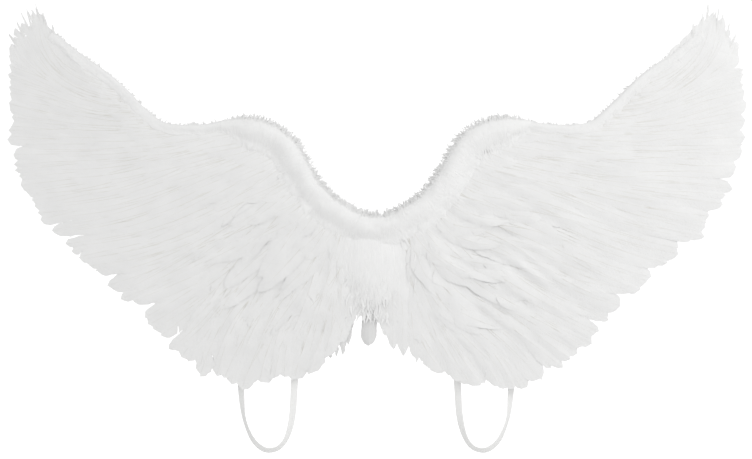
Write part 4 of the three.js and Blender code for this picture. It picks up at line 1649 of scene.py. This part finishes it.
def studio_world():
    """The surrounding light, by how far behind the object it comes from."""
    world = bpy.data.worlds.new("studio")
    world.use_nodes = True
    tree = world.node_tree
    direction = tree.nodes.new("ShaderNodeTexCoord")
    split = tree.nodes.new("ShaderNodeSeparateXYZ")
    tree.links.new(direction.outputs["Generated"], split.inputs[0])
    turn = tree.nodes.new("ShaderNodeMapRange")
    turn.inputs["From Min"].default_value = -1.0
    tree.links.new(split.outputs["Y"], turn.inputs["Value"])
    glow = tree.nodes.new("ShaderNodeFloatCurve")
    curve = glow.mapping.curves[0]
    scale = 2.0  # a curve's values stay within 0 and 1
    while len(curve.points) < len(STUDIO):
        curve.points.new(0.5, 0.5)
    for point, (at, level) in zip(curve.points, STUDIO):
        point.location = (at, level / scale)
        point.handle_type = "VECTOR"
    glow.mapping.update()
    tree.links.new(turn.outputs["Result"], glow.inputs["Value"])
    bright = tree.nodes.new("ShaderNodeMath")
    bright.operation = "MULTIPLY"
    bright.inputs[1].default_value = scale
    tree.links.new(glow.outputs["Value"], bright.inputs[0])
    tree.links.new(bright.outputs[0], tree.nodes["Background"].inputs["Strength"])
    tree.nodes["Background"].inputs["Color"].default_value = (1, 1, 1, 1)
    return world


def key_light():
    """A soft lamp from the right and above, aimed at the wings."""
    key = bpy.data.lights.new("key", "AREA")
    key.energy, key.size = 5.0, 0.7
    lamp = bpy.data.objects.new("key", key)
    lamp.location = (1.25, -0.9, 0.75)
    aim = Vector((0.1, 0, 0.03)) - lamp.location
    lamp.rotation_euler = aim.to_track_quat("-Z", "Y").to_euler()
    lamp.visible_camera = False
    bpy.context.scene.collection.objects.link(lamp)


def pale_floor():
    """A plain floor below the CAD box."""
    drop, reach = 0.35, 3.4
    z = cad_low.z - drop
    floor = bpy.data.meshes.new("floor")
    corners = [(-reach, -reach, z), (reach, -reach, z), (reach, reach, z), (-reach, reach, z)]
    floor.from_pydata(corners, [], [(0, 1, 2, 3)])
    floor.materials.append(floor_material())
    ground = bpy.data.objects.new("floor", floor)
    bpy.context.scene.collection.objects.link(ground)


def light_up():
    """The studio: its view transform, surroundings, lamp and floor."""
    bpy.context.scene.view_settings.view_transform = "Standard"
    bpy.context.scene.world = studio_world()
    key_light()
    pale_floor()


make_camera()
elastic = elastic_material()
for prefix, side in SIDES.items():
    arm_strap(prefix, side, elastic)
light_up()
# The second vane colour is darker: painted shade for the tail feather and the feathers under the left wing's root.
vane, painted_shade_vane = feather_material("feather_vane", 0.9), feather_material("painted_shade_vane", 0.8)
down, quill = down_material("down", 0.93), quill_material()
# A darker copy of the down colour: painted shade for the marabou's fringe of hairs, grey where the roll turns away
# from the light.
painted_shade_down = down_material("down_fringe_painted_shade", 0.88)
beds = {}
for index, (prefix, side) in enumerate(SIDES.items()):
    bed = beds[prefix] = Bed(prefix, 81 + index)
    ride_on(f"{prefix}_wing", bed.build(f"{prefix}_underfeathers", side, vane))
    feather_rows(prefix, side, 11 + index, bed, vane, quill)
    tip_feathers(prefix, side, 31 + index, bed, vane, quill)
    fold_down(prefix, side, 61 + index, bed, vane, quill, down)
    root_plumes(prefix, side, 51 + index, bed, vane)
marabou(beds, down, painted_shade_down, vane)
centre_body(42, down)
cloth, tape, thread = cloth_material(), tape_material(), thread_material()
centre_cloth(cloth)
for index, (prefix, side) in enumerate(SIDES.items()):
    wing_cloth(prefix, side, 101 + index, cloth)
    hinge_tape(prefix, side, 111 + index, tape, thread)
    strap_patch(prefix, side, 121 + index, tape, thread)
    strap_ends(prefix, side, elastic, thread)
finish_cad(board_material(), wire_material())
tail_feather(painted_shade_vane, quill)
under_feathers(painted_shade_vane)
